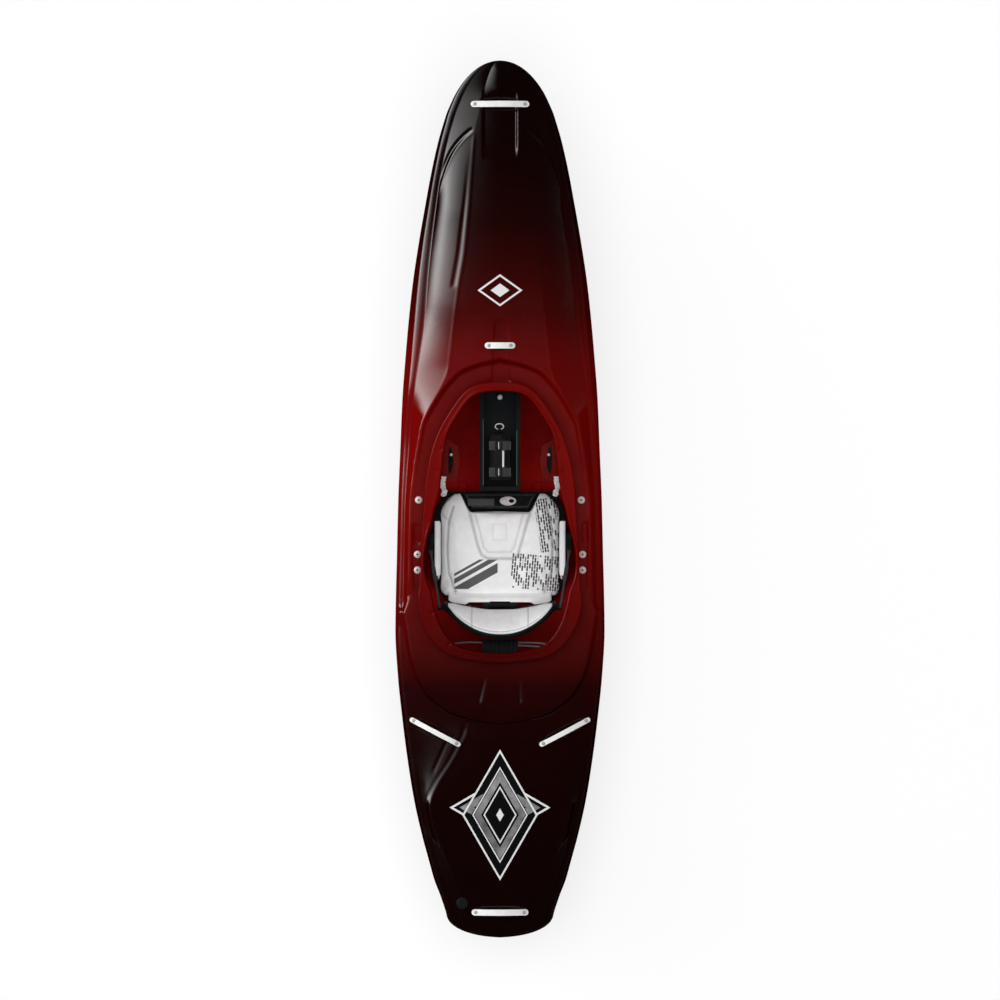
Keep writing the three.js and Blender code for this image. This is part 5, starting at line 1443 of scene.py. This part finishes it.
# ---- foam pillars
def pillar(name, stations, half, tops):
    """Foam wall from the hull floor up, from stations along X and the height of its top at each."""
    rings = []
    for x, top in zip(stations, tops):
        ys = np.linspace(half, -half, 15)
        base = float(keel_level(x)) + shell_wall + 0.8
        limit = under_deck(np.full(15, float(x)), ys, shell_wall) - 1
        heights = np.minimum(limit, top)
        top_row = [(x, y, float(z)) for y, z in zip(ys, heights)]
        rings.append(top_row + [(x, -half, base), (x, half, base)])
    return loft(name, rings, smooth_shade=False)


front_stations = np.concatenate([[29, 36], np.arange(60, 379, 40), [379, 392], np.arange(400, 640, 8)])
front_tops = np.where(front_stations < 380, 268, 500)
front_tops = np.where(np.abs(front_stations - 392) < 1, 340, front_tops)
pillar_front = pillar("pillar_front", front_stations, 63.4, front_tops)
tray = prism("tray", [(42, -50.5), (341, -50.5), (341, 50.5), (42, 50.5)], 224, 300, 0)
parts = [(round_edges(cut(pillar_front, tray), 2.2, 2, 50), foam)]
# Light grey strips along the tray's inner top edges: painted highlights on the foam's edges.
for y, end in ((52.6, 252), (-52.6, 218)):
    line = [(x, y, 268.4) for x in np.linspace(46, end, 20)]
    parts.append((sweep("painted_edge_highlight", line, flat_section(2.6, 1.0, 0.3)), grey_webbing))
piece("pillar_front", parts, "hull", "foam", "front_pillar")

rear_face = [-544, -533, -500, -463, -455, -448, -441.4]
rear_stations = np.concatenate([[-999], np.arange(-990, -545, 9), rear_face])
rear_tops = np.interp(rear_stations, [-545, -533, -462, -441], [400, 214, 214, 170])
rear_tops = np.where(rear_stations < -544.5, 500, rear_tops)
parts = [(pillar("pillar_rear", rear_stations, 54.4, rear_tops), foam)]
for y in np.linspace(-49, 49, 8):
    line = [(-439.6, y, 160), (-440.4, y, 170.8), (-461.6, y, 214.9), (-500, y, 215), (-531, y, 215)]
    parts.append((sweep("rib", line, flat_section(8.5, 3, 1.2)), foam))
piece("pillar_rear", parts, "hull", "foam", "rear_pillar")
rear_stays = [
    (-1, [(-447, 57, 196), (-447, 90, 207), (-448, 122, 232), (-451, 148, 262)]),
    (-1, [(-456, 57, 204), (-457, 90, 214), (-459, 118, 236), (-462, 140, 264)]),
    (1, [(-447, 57, 196), (-446, 92, 208), (-447, 124, 234), (-451, 148, 262)]),
]
for number, (side, points) in enumerate(rear_stays):
    path = smooth_path(mirrored(points, side), 8)
    stay = sweep(f"rear_stay_{number}", path, flat_section(5, 1.6, 0.6))
    dress(soft_corners(stay), grey_webbing, "hull", "webbing")

# ---- roll, bands, bolt and clip in the tray
roll_z = 257
profile = [(6, 63), (9, 62.2), (22, 62.6), (28.2, 64.6), (30.4, 68), (30.9, 74)]
profile += [(30.9 + 0.35 * math.sin(x / 9), x) for x in np.arange(80, 190, 6)]
profile += [(30.9, 193), (30.4, 199), (28.2, 202.4), (22, 204.4), (9, 204.8), (6, 204)]
roll = turned("roll", profile, (0, 0, roll_z), (1, 0, 0), 56,
              lambda a: 1 + 0.012 * math.sin(2 * a + 0.6) + 0.006 * math.sin(5 * a))
strip_line = [(x, -10, roll_z + 30.3) for x in np.linspace(103, 154, 12)]
strip = sweep("strip", strip_line, flat_section(6, 1.2, 0.4), up=(0, -0.32, 0.95))
parts = [(roll, black_cloth), (strip, light_webbing)]
roll = piece("tray_roll", parts, "hull", "foam", "pillar_roll", angle=50)
band_reach = 33.1
for node, x in (("pillar_strap_front", 170), ("pillar_strap_rear", 87)):
    turns = np.linspace(-0.1, math.pi + 0.1, 41)
    over = [(x, 33 * math.cos(a), roll_z + 33 * math.sin(a)) for a in turns]
    line = [(x, band_reach, z) for z in (225, 234, 244)] + over[1:-1]
    line += [(x, -band_reach, z) for z in (244, 234, 225)]
    band_strap = sweep("band", line, flat_section(2, 28, 0.8), up=(1, 0, 0))
    plate = prism("plate", [(x + a, 4 + b) for a, b in flat_section(26, 22, 3)], 291.2, 294.4, 0.9, 2)
    openings = [prism("slot", [(x + a, 4 + dy + b) for a, b in flat_section(19, 4.2, 1.2)], 285, 300, 0)
                for dy in (-5, 5)]
    bar = turned("bar", [(1.2, -11), (1.5, -10.4), (1.5, 10.4), (1.2, 11)], (x, 4, 294), (1, 0, 0), 12)
    parts = [(band_strap, webbing), (cut(plate, *openings), black_plastic), (bar, bright_steel)]
    piece(f"{node}_band", parts, "hull", "webbing", node)

bolt_profile = [(4.4, 224.6), (4.4, 233)] + [
    (8.7 * math.cos(a), 241 + 8.7 * math.sin(a)) for a in np.linspace(-1.03, 1.5, 16)]
bolt = turned("tray_ball", bolt_profile, (322, 0, 0), sides=32)
washer = turned("washer", [(9, 224.4), (9.4, 224.8), (9.4, 226), (9, 226.4)], (322, 0, 0), sides=6)
piece("tray_ball_bolt", [(bolt, bright_steel), (washer, steel)], "hull", "steel", "tray_bolt", angle=50)
loop = [(230 + 9 * math.cos(a), 2 + 13 * math.sin(a), 227.4) for a in circle(40)]
loop = sweep("loop", loop, round_section(2.0, 10), closed=True)
gate = turned("gate", [(2.6, -5), (3.1, -4.4), (3.1, 4.4), (2.6, 5)], (221, 2, 227.6), (0, 1, 0), 16)
knot_path = []
for a in circle(60):
    r = 3.4 + 1.9 * math.cos(3 * a)
    x, y = 213.4 + r * math.cos(2 * a), 4 + 1.9 * r * math.sin(2 * a)
    knot_path.append((x, y, 229.4 + 2.2 * math.sin(3 * a)))
knot = sweep("knot", knot_path, round_section(1.9, 10), closed=True, up=(0.1, 0.2, 1))
parts = [(loop, bright_steel), (gate, steel), (knot, black_cloth)]
piece("tray_clip_set", parts, "hull", "steel", "tray_clip", angle=50)

# ---- thigh braces, their pads and pull tabs
brace_outline = [(60, 232), (214, 232), (214, 206), (170.9, 132), (124.7, 124), (68, 132), (60, 150)]
lens_outline = [(80, 158), (92, 151), (108, 147), (124, 146), (140, 147.5), (154, 151), (168, 158),
                (154, 160.5), (124, 161.5), (94, 160.5)]
pad_outline = [(68.5, 197.5), (197.5, 197.5), (162.5, 140.5), (124.7, 132.5), (76.5, 140.5)]
for name, side in both_sides:
    plate = prism("plate", mirrored(brace_outline, side), 206.1, 211.9, 1.8, 3)
    lens = prism("lens", mirrored(lens_outline, side), 211.6, 214.4, 1.0, 2)
    parts = [(plate, brace_plastic), (lens, black_plastic)]
    for x in np.arange(88, 162, 5.5):
        reach = 1 + 6.5 * math.sin(math.pi * (x - 80) / 88)
        line = [(x, side * y, 214.7) for y in (154.5 - reach, 154.5, 154.5 + reach * 0.8)]
        parts.append((sweep("rib", line, flat_section(3.0, 1.8, 0.7)), black_plastic))
    screw = [(4.4, 214), (4.6, 215.4), (4.2, 216.6), (2.2, 217), (1.8, 216), (0.1, 215.8)]
    parts.append((turned("head", screw, (142, side * 152.7, 0), sides=24), bright_steel))
    body = f"thigh_brace_{name}"
    piece(f"thigh_plate_{name}", parts, body, "brace_plastic", f"thigh_brace_{name}")
    pad = prism(f"thigh_foam_{name}", mirrored(pad_outline, side), 192, 205.4, 3.2, 3)
    dress(pad, foam, body, "foam", f"thigh_pad_{name}")
    tab_line = [(74, 176, 213), (66, 176.5, 213.6), (57, 178, 217), (47, 176, 219), (37, 178.5, 213),
                (28, 177, 206), (20, 178, 203), (17, 176, 197), (23, 175, 192.5), (32, 177, 194)]
    path = smooth_path(mirrored(tab_line, side), 6)
    widths = [1 + 0.12 * math.sin(i * 0.9) for i in range(len(path))]
    tab = sweep(f"pull_tab_{name}", path, flat_section(15, 1.3, 0.5), scale=widths)
    at = coordinates(tab)
    crumple = ease((66 - at[:, 0]) / 10)
    at[:, 2] += 2.4 * np.sin(at[:, 0] / 4.2 + at[:, 1] / 4.0) * crumple
    at[:, 1] += 2.6 * np.sin(at[:, 0] / 7.5 + side) * crumple
    set_coordinates(tab, at)
    dress(tab, light_webbing, body, "webbing")

# ---- foot pads
for name, side in both_sides:
    lean = -side * math.radians(9.5)
    rail = Matrix.Translation((440 * MM, side * 252 * MM, 0)) @ Matrix.Rotation(lean, 4, "Z")
    along = 170 / math.cos(lean) - 6 - 0.3
    outline = [(-side * 56.3 + a, 141 + b) for a, b in flat_section(97, 135, 9)]
    pad = prism(f"foot_foam_{name}", outline, along - 8.8, along - 0.3, 2, 3, "x")
    pad.data.transform(rail)
    dress(pad, foam, f"footplate_{name}", "foam", f"foot_pad_{name}")

# ---- carried-over nodes
finishes = {
    "bar_plastic": bar_plastic, "steel": steel, "black_plastic": black_plastic, "foam": foam,
    "webbing": webbing, "brace_plastic": brace_plastic, "seal_rubber": rubber, "seat_cloth": cloth,
    "hull_plastic": hull_plastic,
}
edge_widths = {"bar_plastic": 2.4, "black_plastic": 1.2, "steel": 0.5, "seal_rubber": 0.5}
for entry in frame["record"]["subparts"]:
    node = frame["nodes"][entry["node"]]
    if node.hide_render:
        continue
    slot = entry["material_slot"]
    finish = finishes[slot]
    # The seat rails take the inside's red, lightened as painted light.
    if entry["node"].startswith("seat_rail"):
        finish = hull_inside_painted_light
    elif "bar" in entry["node"] and "screw" in entry["node"]:
        finish = bar_screw_steel
    node.data.materials.clear()
    node.data.materials.append(finish)
    weld = node.modifiers.new("weld", "WELD")
    weld.merge_threshold = 0.01 * MM
    bevelled(node, edge_widths.get(slot, 0.8), angle=35)

# ---- camera, lights and floor
camera_distance = 24
view_width = 3.128
focus_height = 0.25
camera_data = bpy.data.cameras.new("camera")
camera_data.sensor_fit = "HORIZONTAL"
camera_data.lens = camera_data.sensor_width * (camera_distance - focus_height) / view_width
camera_data.clip_end = 200
camera = placed("camera", camera_data)
camera.location = (0, 0, camera_distance)
camera.rotation_euler = (0, 0, -math.pi / 2)
bpy.context.scene.camera = camera

# Soft level light from above, which leaves no reflection on the deck
light_size, light_height, light_level = 8, 6, 2.2
light = bpy.data.lights.new("fill", "AREA")
light.shape = "RECTANGLE"
light.size = light.size_y = light_size
light.energy = light_level * math.pi * light_size ** 2
fill = placed("fill", light)
fill.location = (0, 0, light_height)
fill.rotation_euler = Vector((0, 0, -1)).to_track_quat("-Z", "Y").to_euler()
fill.visible_camera = fill.visible_glossy = False

# Studio round the boat: a long soft light to port, brightest low down, and dark elsewhere
world = bpy.data.worlds.new("world")
bpy.context.scene.world = world
world.use_nodes = True


class Sky(Nodes):
    def __init__(self, owner):
        self.tree = owner.node_tree
        self.coords = self.new("TexCoord").outputs["Generated"]


sky = Sky(world)
sx, sy, sz = sky.split()
flat = sky.math("SQRT", sky.most(sky.minus(1.0, sky.times(sz, sz)), 0.0001))
to_port = sky.mapped(sky.math("DIVIDE", sy, flat), 0.45, 0.85, 0, 1, True)
to_bow = sky.mapped(sky.math("DIVIDE", sx, flat), -0.02, 0.07, 0, 1, True)
low = sky.ramp(sz, [(0.0, 1.0), (0.09, 0.93), (0.21, 0.67), (0.34, 0.39), (0.47, 0.27), (0.59, 0.175),
                    (0.695, 0.12), (0.82, 0.05), (1.0, 0.0)])
box = sky.times(sky.times(to_port, to_bow), low)
rest = sky.ramp(sz, [(0.0, 0.03), (0.35, 0.025), (0.7, 0.016), (0.93, 0.008), (1.0, 0.007)])
backdrop = sky.tree.nodes["Background"]
sky.put(backdrop.inputs["Color"], (1, 1, 1))
sky.put(backdrop.inputs["Strength"], sky.plus(sky.times(box, 8.6), rest))

far = 30000
floor_corners = [(-far, -far, 0), (far, -far, 0), (far, far, 0), (-far, far, 0)]
floor = mesh_object("floor", floor_corners, [(0, 1, 2, 3)], False)
n = Nodes("floor")
n.set(color=(0.93, 0.93, 0.93), rough=0.9, spec=0.0)
rays = n.new("LightPath").outputs
seen = n.most(rays["Is Camera Ray"], n.most(rays["Is Glossy Ray"], rays["Is Transmission Ray"]))
glow = n.new("Emission", Color=(1, 1, 1), Strength=1.05).outputs[0]
surface = n.new("MixShader", Fac=n.times(seen, 0.72))
n.put(surface.inputs[1], n.shader.outputs[0])
n.put(surface.inputs[2], glow)
n.put(n.tree.nodes["Material Output"].inputs["Surface"], surface.outputs[0])
floor.data.materials.append(n.material)

bpy.context.scene.view_settings.view_transform = "Standard"
